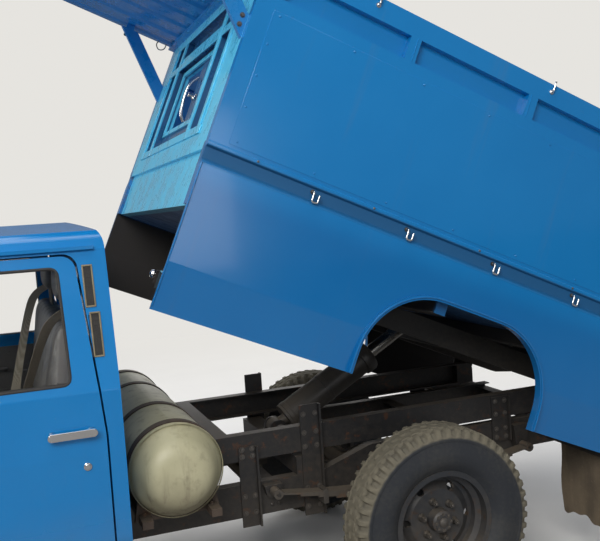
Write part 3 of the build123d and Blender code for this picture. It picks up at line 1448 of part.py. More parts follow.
TAILGATE_PIN = (BED_REAR_X + GATE_PIN_SET, BED_FLOOR_Z + GATE_PIN_SET)
UPPER_GATE_PIN = (BED_REAR_X + GATE_PIN_SET, BOX_TOP_Z - BOX_TOP_RAIL - GATE_GAP - GATE_PIN_SET)

nodes = {
    "frame_rails": frame_rails(),
    "crossmembers": crossmembers(),
    "hoist_rails": hoist_rails(),
    "tow_eyes": tow_eyes(),
    "leaf_springs": leaf_springs(),
    "rear_axle": rear_axle(),
    "front_axle": front_axle(),
    "engine_block": engine_block(),
    "driveline": driveline(),
    "exhaust": exhaust(),
    "fuel_tank": fuel_tank(),
    "gas_cylinder": gas_cylinder(),
    "cylinder_cradle": cylinder_cradle(),
    "cab_body": cab_body(),
    "cab_roof": cab_roof(),
    "cab_glass": cab_glass(),
    "front_wings": front_wings(),
    "grille_panel": grille_panel(),
    "headlamps": headlamps(),
    "radiator": radiator(),
    "front_bumper": front_bumper(),
    "dashboard": dashboard(),
    "bench_seat": bench_seat(),
    "steering_column": steering_column(),
    "steering_wheel": steering_wheel(),
    "mud_flaps": mud_flaps(),
    "rear_lamps": rear_lamps(),
    "hood": hood(),
    "knuckle_left": knuckle(),
    "knuckle_right": other_side(knuckle()),
    "tie_rod": tie_rod(),
    "hoist_barrel": hoist_barrel(),
    "hoist_rod": hoist_rod(),
}
for name, make in (("door", door), ("quarter_glass", quarter_glass), ("door_fittings", door_fittings)):
    left = make()
    nodes[name + "_left"] = left
    nodes[name + "_right"] = other_side(left)
# Place, X of the axle, Y of the wheel
wheel_table = [
    ("front", WHEELBASE, FRONT_WHEEL_Y),
    ("rear", 0, REAR_WHEEL_Y),
]
for place, x, y in wheel_table:
    for side_name, side in (("left", 1), ("right", -1)):
        nodes[f"rim_{place}_{side_name}"] = rim(x, side * y, side)
        nodes[f"tyre_{place}_{side_name}"] = tyre(x, side * y)

flat_bed = {
    "bed_frame": bed_frame(),
    "bed_floor": bed_floor(),
    "bed_side_left": bed_side(),
    "bed_side_right": other_side(bed_side()),
    "bed_front_wall": bed_front_wall(),
    "box_side_left": box_side(),
    "box_side_right": other_side(box_side()),
    "tail_frame": tail_frame(),
    "visor": visor(),
    "rope_hooks": rope_hooks(),
    "tailgate": tailgate(),
    "upper_gate": upper_gate(),
}
for name, shape in flat_bed.items():
    nodes[name] = group(shape).rotate(BED_HINGE, BED_TILT)

# The part's own frame has its origin on the ground under the middle of the whole truck
nodes = {name: group(shape) for name, shape in nodes.items()}
bounds = [shape.bounding_box() for shape in nodes.values()]
SHIFT_X = -(min(b.min.X for b in bounds) + max(b.max.X for b in bounds)) / 2
os.makedirs("parts", exist_ok=True)
for name, shape in nodes.items():
    export_step(Pos(SHIFT_X, 0, 0) * shape, f"parts/{name}.step")
print("shift", round(SHIFT_X, 3))
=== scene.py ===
from math import atan2, cos, pi, radians, sin

import bmesh
import bpy
from mathutils import Matrix, Vector


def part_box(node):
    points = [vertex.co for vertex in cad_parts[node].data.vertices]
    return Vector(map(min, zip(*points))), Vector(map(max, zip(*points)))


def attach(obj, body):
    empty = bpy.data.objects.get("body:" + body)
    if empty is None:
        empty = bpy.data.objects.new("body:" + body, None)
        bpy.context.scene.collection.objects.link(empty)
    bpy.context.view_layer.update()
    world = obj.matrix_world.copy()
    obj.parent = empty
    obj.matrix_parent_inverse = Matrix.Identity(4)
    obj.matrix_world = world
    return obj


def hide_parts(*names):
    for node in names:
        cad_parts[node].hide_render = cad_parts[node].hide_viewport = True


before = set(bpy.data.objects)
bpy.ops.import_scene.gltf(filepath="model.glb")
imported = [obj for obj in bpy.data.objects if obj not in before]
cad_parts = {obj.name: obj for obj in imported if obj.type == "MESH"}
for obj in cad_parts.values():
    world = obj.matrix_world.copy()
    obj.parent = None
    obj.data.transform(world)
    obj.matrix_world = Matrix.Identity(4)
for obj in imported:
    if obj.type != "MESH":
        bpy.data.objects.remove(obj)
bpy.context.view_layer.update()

# The studio.
# A plain pale floor under soft lamps. The camera stands at the left of the truck,
# 1.7 m up and level with the cab's door, and looks back along it and slightly down.


class Wire:
    """A shader node's output. Sums on it add Math nodes."""

    def __init__(self, finish, socket):
        self.finish = finish
        self.socket = socket

    def math(self, operation, *values):
        return self.finish.node("ShaderNodeMath", {"operation": operation}, dict(enumerate(values)))

    def __add__(self, other):
        return self.math("ADD", self, other)

    def __radd__(self, other):
        return self.math("ADD", other, self)

    def __sub__(self, other):
        return self.math("SUBTRACT", self, other)

    def __rsub__(self, other):
        return self.math("SUBTRACT", other, self)

    def __mul__(self, other):
        return self.math("MULTIPLY", self, other)

    def __rmul__(self, other):
        return self.math("MULTIPLY", other, self)

    def clear(self):
        """The value held between 0 and 1."""
        return self.math("MINIMUM", self.math("MAXIMUM", self, 0.0), 1.0)


class Finish:
    """A material whose colour, roughness and bump are built node by node."""

    def __init__(self, name):
        self.material = bpy.data.materials.new(name)
        self.material.use_nodes = True
        self.tree = self.material.node_tree
        self.tree.nodes.clear()
        self.place = self.node("ShaderNodeTexCoord", out="Object")
        self.height = self.node("ShaderNodeSeparateXYZ", {}, {0: self.place}, out="Z")

    def node(self, kind, settings=None, sockets=None, out=0):
        """Adds one node: its settings first, then the values or links of its sockets."""
        made = self.tree.nodes.new(kind)
        for key, value in (settings or {}).items():
            if key == "stops":
                ramp = made.color_ramp
                for spot, grey in value[1:-1]:
                    ramp.elements.new(spot).color = (grey, grey, grey, 1)
                for element, (spot, grey) in ((ramp.elements[0], value[0]), (ramp.elements[-1], value[-1])):
                    element.position = spot
                    element.color = (grey, grey, grey, 1)
            else:
                setattr(made, key, value)
        for key, value in (sockets or {}).items():
            if isinstance(value, Wire):
                self.tree.links.new(value.socket, made.inputs[key])
            else:
                made.inputs[key].default_value = value
        return Wire(self, made.outputs[out]) if made.outputs else made

    def noise(self, scale, detail=4.0, roughness=0.5, where=None):
        return self.node("ShaderNodeTexNoise", {}, {
            "Vector": where or self.place, "Scale": scale, "Detail": detail, "Roughness": roughness})

    def stretched(self, x, y, z):
        """The place scaled by axis, for streaks."""
        return self.node("ShaderNodeMapping", {}, {"Vector": self.place, "Scale": (x, y, z)})

    def step(self, value, low, high):
        """0 below low, 1 above high, smooth between. low may be the larger."""
        flip = low > high
        a, b = (high, low) if flip else (low, high)
        ends = (1.0, 0.0) if flip else (0.0, 1.0)
        return self.node("ShaderNodeMapRange", {"interpolation_type": "SMOOTHSTEP"}, {
            "Value": value, "From Min": a, "From Max": b, "To Min": ends[0], "To Max": ends[1]})

    def mix(self, first, second, factor):
        """Two colours mixed by a factor."""
        sockets = {0: factor}
        for key, colour in ((6, first), (7, second)):
            sockets[key] = colour if isinstance(colour, Wire) else (*colour, 1)
        return self.node("ShaderNodeMix", {"data_type": "RGBA"}, sockets, out=2)

    def bump(self, height, distance, strength=1.0, under=None):
        sockets = {"Height": height, "Distance": distance, "Strength": strength}
        if under:
            sockets["Normal"] = under
        return self.node("ShaderNodeBump", {}, sockets)

    def surface(self, **sockets):
        """The closing shader. Names follow its sockets, with _ for a space."""
        values = {key.replace("_", " "): value for key, value in sockets.items()}
        colour = values.get("Base Color")
        if colour is not None and not isinstance(colour, Wire):
            values["Base Color"] = (*colour, 1)
        shader = self.node("ShaderNodeBsdfPrincipled", {}, values)
        self.node("ShaderNodeOutputMaterial", {}, {"Surface": shader})
        return self.material


BACKDROP = (0.79, 0.775, 0.74)
floor_finish = Finish("floor_pale")
floor_seen = floor_finish.node("ShaderNodeLightPath", out="Is Camera Ray")
floor_grain = floor_finish.mix((0.86, 0.855, 0.84), (0.94, 0.935, 0.92), floor_finish.noise(2.2, 6.0))
floor_reach = floor_finish.node("ShaderNodeVectorMath", {"operation": "LENGTH"},
                                {0: floor_finish.place}, out="Value")
floor_far = floor_finish.step(floor_reach, 3.2, 8.5)
floor_lit = floor_far * floor_seen
floor_colour = floor_finish.mix(floor_finish.mix((0.30, 0.29, 0.28), floor_grain, floor_seen),
                                (0.0, 0.0, 0.0), floor_lit)
floor_material = floor_finish.surface(Base_Color=floor_colour, Roughness=0.9,
                                      Emission_Strength=1.0, Specular_IOR_Level=0.0,
                                      Emission_Color=floor_finish.mix((0.0, 0.0, 0.0), BACKDROP, floor_lit))
bpy.ops.mesh.primitive_plane_add(size=60)
floor = bpy.context.object
floor.name = "studio_floor"
floor.data.materials.append(floor_material)

world = bpy.data.worlds.new("studio_air")
bpy.context.scene.world = world
world.use_nodes = True
air = world.node_tree
air.nodes.clear()
light_path = air.nodes.new("ShaderNodeLightPath")
lamp_air = air.nodes.new("ShaderNodeBackground")
lamp_air.inputs["Color"].default_value = (0.80, 0.86, 0.95, 1)
lamp_air.inputs["Strength"].default_value = 0.26
seen_air = air.nodes.new("ShaderNodeBackground")
seen_air.inputs["Color"].default_value = (*BACKDROP, 1)
seen_air.inputs["Strength"].default_value = 1.0
air_mix = air.nodes.new("ShaderNodeMixShader")
air_out = air.nodes.new("ShaderNodeOutputWorld")
either = air.nodes.new("ShaderNodeMath")
either.operation = "MAXIMUM"
air.links.new(light_path.outputs["Is Camera Ray"], either.inputs[0])
air.links.new(light_path.outputs["Is Transmission Ray"], either.inputs[1])
air.links.new(either.outputs[0], air_mix.inputs[0])
air.links.new(lamp_air.outputs[0], air_mix.inputs[1])
air.links.new(seen_air.outputs[0], air_mix.inputs[2])
air.links.new(air_mix.outputs[0], air_out.inputs[0])

# Name, place, point it faces, size of the panel in x and y, watts
lamp_table = [
    ("key_panel", (4.0, 7.5, 6.0), (0.0, 0.0, 1.2), 5.0, 3.5, 560),
    ("top_panel", (-0.5, 0.5, 7.5), (-0.3, 0.0, 1.0), 7.0, 5.0, 330),
    ("back_panel", (-5.0, -7.0, 4.5), (0.0, 0.0, 1.2), 8.5, 6.0, 280),
    ("window_panel", (-1.6, 8.5, 2.1), (0.2, 0.8, 1.3), 1.5, 1.9, 22),
    ("nose_panel", (8.0, -2.0, 3.5), (1.0, 0.0, 1.0), 4.0, 3.0, 240),
]
for name, spot, aim, wide, tall, watts in lamp_table:
    data = bpy.data.lights.new(name, "AREA")
    data.shape = "RECTANGLE"
    data.size = wide
    data.size_y = tall
    data.energy = watts
    data.color = (1.0, 0.97, 0.93)
    lamp = bpy.data.objects.new(name, data)
    lamp.location = spot
    lamp.rotation_euler = (Vector(aim) - Vector(spot)).to_track_quat("-Z", "Y").to_euler()
    bpy.context.collection.objects.link(lamp)

CAMERA_PLACE = Vector((0.674, 3.70, 1.70))
CAMERA_RIGHT = Vector((-0.9348, 0.3488, -0.0655))
CAMERA_FORWARD = Vector((-0.3446, -0.9362, -0.0699))
FOCAL_PIXELS = 832.0
PHOTO_WIDTH = 600.0

camera_data = bpy.data.cameras.new("photo_camera")
camera_data.sensor_width = 36.0
camera_data.lens = FOCAL_PIXELS / PHOTO_WIDTH * camera_data.sensor_width
camera_data.clip_start = 0.05
camera = bpy.data.objects.new("photo_camera", camera_data)
back = -CAMERA_FORWARD.normalized()
right = CAMERA_RIGHT.normalized()
up = back.cross(right).normalized()
right = up.cross(back).normalized()
turn = Matrix((right, up, back)).transposed().to_4x4()
camera.matrix_world = Matrix.Translation(CAMERA_PLACE) @ turn
bpy.context.collection.objects.link(camera)
bpy.context.scene.camera = camera
bpy.context.scene.view_settings.view_transform = "Standard"

# Chassis rails, crossmembers and the hoist frame.
# Pressed and welded steel channels in dark paint, under tan road dust that lies
# thickest on top faces and low down. Riveted and bolted where they cross.
AXLE_X = sum(corner[0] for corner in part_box("tyre_rear_left")) / 2
HINGE = Vector((-0.813, 0.0, 0.750))
BED_PIVOT = HINGE + Vector((AXLE_X, 0.0, 0.0))
BED_TILT = radians(23.5)
BED_TURN = (Matrix.Translation(BED_PIVOT) @ Matrix.Rotation(-BED_TILT, 4, "Y")
            @ Matrix.Translation(-BED_PIVOT))


def dusty(name, paint, dust, cover=0.5, gloss=0.45, low=0.25, high=0.85, rust=None, metallic=0.0):
    """Paint under dust: thick below low, thin above high, and on faces that look up."""
    f = Finish(name)
    broad = f.noise(3.0, 5.0)
    fine = f.noise(46.0, 6.0, 0.65)
    facing = f.node("ShaderNodeSeparateXYZ", {}, {0: f.node("ShaderNodeTexCoord", out="Normal")}, out="Z")
    lie = f.step(f.height + broad * 0.35 - 0.17, high, low) * cover
    film = (lie + f.step(facing, 0.2, 0.95) * 0.45 * (0.4 + cover) + fine * 0.35 - 0.18).clear()
    base = f.mix(paint, tuple(min(1, c * 1.7 + 0.01) for c in paint), broad)
    if rust:
        spots = f.step(f.noise(19.0, 7.0, 0.7), 0.56, 0.66)
        base = f.mix(base, rust, spots)
    colour = f.mix(base, dust, film)
    rough = film * (0.92 - gloss) + gloss
    return f.surface(Base_Color=colour, Roughness=rough, Metallic=metallic,
                     Normal=f.bump(fine * 0.6 + broad, 0.002, 0.5))


DUST = (0.190, 0.155, 0.112)
chassis_paint = dusty("chassis_paint", (0.013, 0.013, 0.014), DUST, 0.22, 0.42, rust=(0.075, 0.035, 0.02))
bare_bolt = dusty("bolt_steel", (0.09, 0.085, 0.08), DUST, 0.3, 0.4, metallic=0.6)


def dress(material, *nodes):
    """Gives CAD nodes their material."""
    for node in nodes:
        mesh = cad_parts[node]
        for slot in mesh.material_slots:
            slot.material = material
        if not mesh.material_slots:
            mesh.data.materials.append(material)


class Form:
    """A mesh put together from machined shapes, in metres from the rear axle and the ground."""

    def __init__(self):
        self.mesh = bmesh.new()

    def move(self, vertices, matrix):
        bmesh.ops.transform(self.mesh, matrix=matrix, verts=vertices)

    def ring(self, centre, side, other, radius, segments):
        """Points round a centre, on two directions that are square to each other."""
        return [self.mesh.verts.new(centre + (side * cos(a) + other * sin(a)) * radius)
                for a in (2 * pi * i / segments for i in range(segments))]

    def band(self, first, second, count):
        """Closed faces between two rings. A ring of one point is the tip of a cone."""
        for i in range(count):
            j = (i + 1) % count
            if len(first) == 1 and len(second) == 1:
                return
            if len(first) == 1:
                self.mesh.faces.new((first[0], second[j], second[i]))
            elif len(second) == 1:
                self.mesh.faces.new((first[i], first[j], second[0]))
            else:
                self.mesh.faces.new((first[i], first[j], second[j], second[i]))

    def block(self, low, high, turn=None):
        """A block between two corners, turned about its middle."""
        low, high = Vector(low), Vector(high)
        made = bmesh.ops.create_cube(self.mesh, size=1.0)["verts"]
        matrix = Matrix.Translation((low + high) / 2)
        if turn is not None:
            matrix = matrix @ turn
        self.move(made, matrix @ Matrix.Diagonal((*(high - low), 1)))
        return made

    def turned(self, rows, start, along, segments=32):
        """A shape turned on a lathe: rows of distance along the line and radius."""
        along = Vector(along).normalized()
        side = along.orthogonal().normalized()
        other = along.cross(side)
        rings = []
        for distance, radius in rows:
            centre = Vector(start) + along * distance
            if radius > 0:
                rings.append(self.ring(centre, side, other, radius, segments))
            else:
                rings.append([self.mesh.verts.new(centre)])
        for first, second in zip(rings, rings[1:]):
            self.band(first, second, segments)

    def pipe(self, points, radius, segments=10, straight=False):
        """A round bar along a line, whose corners are eased unless it is straight."""
        line = [Vector(p) for p in points]
        if not straight:
            line = eased(line)
        side = (line[1] - line[0]).normalized().orthogonal().normalized()
        rings = []
        for i, point in enumerate(line):
            ahead = (line[min(i + 1, len(line) - 1)] - line[max(i - 1, 0)]).normalized()
            side = (side - ahead * side.dot(ahead)).normalized()
            rings.append(self.ring(point, side, ahead.cross(side), radius, segments))
        for first, second in zip(rings, rings[1:]):
            self.band(first, second, segments)
        self.mesh.faces.new(list(reversed(rings[0])))
        self.mesh.faces.new(rings[-1])

    def plate(self, outline, origin, across, upward, thick):
        """A plate of any outline. Its corners run across and upward from the origin."""
        across, upward = Vector(across).normalized(), Vector(upward).normalized()
        deep = across.cross(upward) * thick
        near = [self.mesh.verts.new(Vector(origin) + across * a + upward * b) for a, b in outline]
        far = [self.mesh.verts.new(v.co + deep) for v in near]
        self.mesh.faces.new(list(reversed(near)))
        self.mesh.faces.new(far)
        self.band(near, far, len(near))

    def bolt(self, place, along, size=0.008):
        """A hexagon head on its washer."""
        self.turned([(0, size * 1.35), (size * 0.22, size * 1.35), (size * 0.22, 0)], place, along, 16)
        head = [(0, size), (size * 0.75, size), (size * 0.95, size * 0.8), (size * 0.95, 0)]
        self.turned(head, place, along, 6)

    def rivet(self, place, along, size=0.008):
        """A domed rivet head."""
        dome = [(0, size), (size * 0.3, size * 0.92), (size * 0.55, size * 0.6), (size * 0.65, 0)]
        self.turned(dome, place, along, 10)

    def mirror(self):
        """Adds the same shapes on the other side of the truck."""
        mesh = self.mesh
        copies = bmesh.ops.duplicate(mesh, geom=mesh.verts[:] + mesh.edges[:] + mesh.faces[:])["geom"]
        for item in copies:
            if isinstance(item, bmesh.types.BMVert):
                item.co.y = -item.co.y
        faces = [item for item in copies if isinstance(item, bmesh.types.BMFace)]
        bmesh.ops.reverse_faces(mesh, faces=faces)

    def done(self, name, body, slot, material, bevel=0.0, on_bed=False, crease=35, both=False):
        """Makes the piece, turned with the bed where it is on it."""
        if both:
            self.mirror()
        self.move(self.mesh.verts[:], Matrix.Translation((AXLE_X, 0, 0)))
        if on_bed:
            self.move(self.mesh.verts[:], BED_TURN)
        piece = piece_of(name, self.mesh, material, crease)
        if bevel:
            edge = piece.modifiers.new("edge", "BEVEL")
            edge.width = bevel
            edge.segments = 2
            edge.limit_method = "ANGLE"
            edge.angle_limit = radians(40)
            edge.harden_normals = False
        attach(piece, body)
        return piece


def eased(points):
    """A line's corners cut back three times, until they are round."""
    for _ in range(3):
        line = [points[0]]
        for a, b in zip(points, points[1:]):
            line += [a.lerp(b, 0.25), a.lerp(b, 0.75)]
        line.append(points[-1])
        points = line
    return points


def piece_of(name, mesh, material, crease=None):
    """A piece made of a bmesh: its faces turned outward, and smooth up to a crease if one is given."""
    bmesh.ops.recalc_face_normals(mesh, faces=mesh.faces[:])
    data = bpy.data.meshes.new(name)
    mesh.to_mesh(data)
    mesh.free()
    data.materials.append(material)
    if crease is not None:
        for face in data.polygons:
            face.use_smooth = True
        data.set_sharp_from_angle(angle=radians(crease))
    piece = bpy.data.objects.new(name, data)
    bpy.context.collection.objects.link(piece)
    return piece


dress(chassis_paint, "frame_rails", "crossmembers", "hoist_rails", "tow_eyes")

rivets = Form()
for x in (-0.93, -0.33, 0.60, 1.25, 3.37):
    top = 0.66 if x < 0 else 0.58 if x < 2 else 0.64
    for dz in (0.035, 0.105):
        for dx in (-0.016, 0.016):
            rivets.rivet((x + dx, 0.400, top - dz), (0, 1, 0), 0.009)
rivets.done("rail_rivets", "chassis", "chassis_dark", chassis_paint, both=True)

frame_bolts = Form()
for x0, x1, heights in ((0.395, 0.46, (0.44, 0.52, 0.70, 0.76, 0.84)),
                        (0.685, 0.74, (0.46, 0.53, 0.70, 0.73)), (-0.555, -0.495, (0.59, 0.63, 0.70, 0.76))):
    for z in heights:
        for x in (x0 + 0.005, x1 - 0.005):
            frame_bolts.bolt((x, 0.408, z), (0, 1, 0), 0.009)
for x in (-0.915, 3.418):
    low = 0.52 if x < 0 else 0.50
    for dx in (-0.024, 0.024):
        frame_bolts.bolt((x + dx, 0.412, low + 0.035), (0, 1, 0), 0.008)
frame_bolts.done("frame_bolts", "chassis", "chassis_dark", bare_bolt, both=True)

lines = Form()
lines.pipe([(-0.90, 0.392, 0.575), (0.10, 0.392, 0.575), (0.42, 0.392, 0.495), (2.30, 0.392, 0.495),
            (2.62, 0.392, 0.56), (3.20, 0.392, 0.56)], 0.004, 8)
lines.pipe([(0.44, 0.386, 0.53), (2.28, 0.386, 0.53), (2.60, 0.386, 0.59)], 0.007, 8)
for x in (0.55, 0.95, 1.35, 1.75, 2.15):
    lines.block((x - 0.008, 0.376, 0.485), (x + 0.008, 0.395, 0.545))
lines.done("brake_and_wiring_lines", "chassis", "chassis_dark", bare_bolt)

# Leaf springs and axles.
# Spring-steel leaves held to the axle by U-bolts over a pad. The rear axle is a cast
# banjo with a bolted cover, the front one a forged beam. Both are dark and dusty.
spring_steel = dusty("spring_steel", (0.035, 0.032, 0.030), DUST, 0.5, 0.5, rust=(0.09, 0.045, 0.025))
cast_axle = dusty("cast_axle", (0.032, 0.031, 0.030), DUST, 0.6, 0.6, rust=(0.07, 0.04, 0.025))
dress(spring_steel, "leaf_springs")
dress(cast_axle, "rear_axle", "front_axle", "knuckle_left", "knuckle_right", "tie_rod")

FRONT_AXLE = 2.8
clamps = Form()
# X of the axle, Y of the spring, seat height, top of the leaves, depth under the axle
for x, y, seat, top, under in ((0.0, 0.470, 0.452, 0.502, 0.345), (FRONT_AXLE, 0.370, 0.350, 0.384, 0.322)):
    clamps.block((x - 0.062, y - 0.036, top), (x + 0.062, y + 0.036, top + 0.012))
    for dx in (-0.046, 0.046):
        clamps.pipe([(x + dx, y - 0.034, under), (x + dx, y - 0.034, top + 0.026),
                     (x + dx, y + 0.034, top + 0.026), (x + dx, y + 0.034, under)], 0.0065, 8)
    if x < 1:
        clamps.block((x - 0.062, y - 0.042, under - 0.002), (x + 0.062, y + 0.042, under + 0.008))
        for dx in (-0.046, 0.046):
            for dy in (-0.034, 0.034):
                clamps.bolt((x + dx, y + dy, under - 0.002), (0, 0, -1), 0.009)
    half = 0.60 if x < 1 else 0.52
    for end in (-1, 1):
        for share in (0.42, 0.68):
            reach = half * share
            rise = (0.050 if x < 1 else 0.028) * share ** 2
            mid = seat + rise + 0.026
            clamps.block((x + end * reach - 0.011, y - 0.033, mid - 0.030),
                         (x + end * reach + 0.011, y + 0.033, mid + 0.030))
clamps.done("spring_clamps", "chassis", "chassis_dark", bare_bolt, bevel=0.002, both=True)

cover = Form()
for i in range(10):
    a = 2 * pi * (i + 0.5) / 10
    cover.bolt((-0.118, 0.098 * cos(a) * 0.55, 0.395 + 0.098 * sin(a)), (-1, 0, 0), 0.008)
cover.turned([(0, 0.02), (0.012, 0.02), (0.016, 0.014), (0.016, 0)], (-0.148, 0, 0.36), (-1, 0, 0), 6)
cover.pipe([(0.02, -0.40, 0.448), (0.03, -0.20, 0.452), (0.05, 0.0, 0.548), (0.03, 0.20, 0.452),
            (0.02, 0.40, 0.448)], 0.004, 8)
cover.done("axle_cover_bolts", "chassis", "chassis_dark", bare_bolt)

# Wheels and tyres.
# Crossply truck tyres: a moulded rubber carcass whose tread has square shoulder blocks
# and zigzag ribs, brown with dust. Pressed steel rims with a hub flange and wheel nuts.
TYRE_R = 0.395
TREAD_PITCHES = 52
STEPS_PER_PITCH = 6
BEAD_R = 0.2035

rubber = Finish("tyre_rubber_aged")
rubber_fine = rubber.noise(60.0, 5.0, 0.6)
rubber_broad = rubber.noise(5.0, 4.0)
caked = rubber.node("ShaderNodeAttribute", {"attribute_name": "tread"}, out="Fac")
dusted = (caked * 0.82 + rubber_broad * 0.40 + rubber_fine * 0.28 - 0.31).clear()
rubber_colour = rubber.mix((0.025, 0.029, 0.036), (0.200, 0.180, 0.130), dusted)
rubber_material = rubber.surface(Base_Color=rubber_colour, Roughness=dusted * 0.25 + 0.68,
                                 Normal=rubber.bump(rubber_fine, 0.0012, 0.6))


def tyre_profile():
    """Half the carcass from bead to tread centre: distance from the middle, radius, and share of tread."""
    rows = [(0.068, BEAD_R + 0.0005, 0), (0.069, 0.214, 0), (0.074, 0.222, 0), (0.083, 0.232, 0),
            (0.091, 0.243, 0), (0.0925, 0.2455, 0), (0.0965, 0.253, 0), (0.1005, 0.266, 0),
            (0.1022, 0.281, 0), (0.1025, 0.288, 0), (0.1025, 0.2905, 0), (0.1018, 0.304, 0),
            (0.1000, 0.318, 0), (0.0985, 0.331, 0), (0.0975, 0.341, 0), (0.0985, 0.3425, 0),
            (0.0978, 0.352, 0), (0.0955, 0.362, 0.35), (0.0935, 0.370, 0.7), (0.0905, 0.379, 1),
            (0.0865, 0.386, 1), (0.0815, 0.3905, 1), (0.076, 0.393, 1), (0.070, 0.3938, 1)]
    count = 15
    for i in range(count):
        rows.append((0.066 - 0.066 * i / (count - 1), 0.3942 + 0.0008 * i / (count - 1), 1))
    return rows


def tread_depth(offset, phase, side):
    """How deep the tread is cut at a distance from the middle and a place in its pitch."""
    across = abs(offset)
    phase = (phase + (0.5 if side < 0 else 0.0)) % 1.0
    cut = 0.0
    if across > 0.056 and phase < 0.34:
        cut = 0.0115 if across < 0.094 else 0.008
    zigzag = 0.0065 * (1 if phase < 0.5 else -1)
    if abs(across - 0.042 - zigzag * 0.55) < 0.0042:
        cut = 0.0105
    if abs(offset - zigzag * 0.6) < 0.0034:
        cut = 0.009
    if 0.012 < across < 0.034 and 0.44 < phase < 0.56:
        cut = max(cut, 0.004)
    return cut


def mesh_of(points, faces):
    """A bmesh from points and from faces that name the points by number."""
    mesh = bmesh.new()
    corners = [mesh.verts.new(point) for point in points]
    for face in faces:
        mesh.faces.new([corners[number] for number in face])
    return mesh


def make_tyre(name, place_x, place_y, body, node):
    """One tyre, from its profile turned round and its tread cut in."""
    side_rows = tyre_profile()
    rows = [(-w, r, t) for w, r, t in side_rows[:-1]] + [(w, r, t) for w, r, t in reversed(side_rows)]
    around = TREAD_PITCHES * STEPS_PER_PITCH
    points, faces, caked_share = [], [], []
    for i in range(around):
        angle = 2 * pi * (i / around)
        phase = (i % STEPS_PER_PITCH) / STEPS_PER_PITCH
        for offset, radius, share in rows:
            cut = tread_depth(offset, phase, offset) * share
            bulge = 0.0
            if share == 0 and 0.262 < radius < 0.33:
                bulge = 0.0006 * sin(angle * 3)
            drop = radius - cut
            outward = 1 if offset > 0 else -1
            squeeze = outward * (-cut * 0.45 if share < 1 or abs(offset) > 0.08 else bulge)
            points.append((place_x + AXLE_X + drop * cos(angle), place_y + offset + squeeze,
                           TYRE_R + drop * sin(angle)))
            caked_share.append(0.0 if share == 0 else 1.0 - cut * 18)
    wide = len(rows)
    for i in range(around):
        a, b = i * wide, (i + 1) % around * wide
        for j in range(wide - 1):
            faces.append((a + j, b + j, b + j + 1, a + j + 1))
        faces.append((a + wide - 1, b + wide - 1, b, a))
    mesh = mesh_of(points, faces)
    tread = mesh.verts.layers.float.new("tread")
    for corner, share in zip(mesh.verts, caked_share):
        corner[tread] = share
    piece = piece_of(name, mesh, rubber_material, 38)
    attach(piece, body)
    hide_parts(node)


rim_paint = dusty("rim_paint", (0.020, 0.023, 0.028), DUST, 0.30, 0.38, 0.15, 0.6, rust=(0.05, 0.028, 0.018))
nut_steel = dusty("nut_steel", (0.10, 0.095, 0.09), DUST, 0.35, 0.35, 0.1, 0.7, metallic=0.7)
for place, wheel_x, wheel_y in (("front", FRONT_AXLE, 0.695), ("rear", 0.0, 0.700)):
    for side_name, side in (("left", 1), ("right", -1)):
        label = f"{place}_{side_name}"
        body = f"wheel_{label}"
        centre = wheel_y * side
        make_tyre(f"tyre_tread_{label}", wheel_x, centre, body, f"tyre_{label}")
        dress(rim_paint, f"rim_{label}")
        nuts = Form()
        out = (0, side, 0)
        for i in range(6):
            a = 2 * pi * i / 6 + 0.26
            spot = (wheel_x + 0.078 * cos(a), centre + side * 0.010, TYRE_R + 0.078 * sin(a))
            nuts.turned([(0, 0.017), (0.006, 0.0155), (0.012, 0.012), (0.012, 0)], spot, out, 20)
            nuts.turned([(0.010, 0.0125), (0.026, 0.0125), (0.029, 0.0105), (0.029, 0)], spot, out, 6)
            nuts.turned([(0.027, 0.006), (0.037, 0.006), (0.038, 0.005), (0.038, 0)], spot, out, 12)
        for i in range(8):
            a = 2 * pi * i / 8
            spot = (wheel_x + 0.033 * cos(a), centre + side * 0.0595, TYRE_R + 0.033 * sin(a))
            nuts.bolt(spot, out, 0.0055)
        cap = (wheel_x, centre + side * 0.0595, TYRE_R)
        nuts.turned([(0, 0.020), (0.004, 0.019), (0.010, 0.008), (0.012, 0)], cap, out, 24)
        stem = Vector((wheel_x + 0.160 * cos(2.0), centre - side * 0.004, TYRE_R + 0.160 * sin(2.0)))
        nuts.pipe([stem, stem + Vector((0, side * 0.030, 0)), stem + Vector((0.006, side * 0.048, -0.012))],
                  0.0042, 8)
        nuts.done(f"wheel_nuts_{label}", body, "bright_chrome", nut_steel)

# Engine, driveline, exhaust and fuel tank.
# The iron engine is dressed with what shows when the hood is up: rocker cover, air
# cleaner, fan, alternator, battery and hoses. Rusty exhaust, dusty steel tank.
iron = dusty("engine_iron_oily", (0.040, 0.038, 0.036), (0.12, 0.10, 0.08),
             0.35, 0.5, 0.3, 1.1, rust=(0.07, 0.035, 0.02))
rusty = dusty("exhaust_rust", (0.13, 0.085, 0.060), DUST, 0.35, 0.65, 0.2, 0.7, rust=(0.10, 0.045, 0.02),
              metallic=0.3)
tank_paint = dusty("tank_paint", (0.030, 0.030, 0.031), DUST, 0.5, 0.4)
dress(iron, "engine_block", "driveline", "radiator")
dress(rusty, "exhaust")
dress(tank_paint, "fuel_tank")

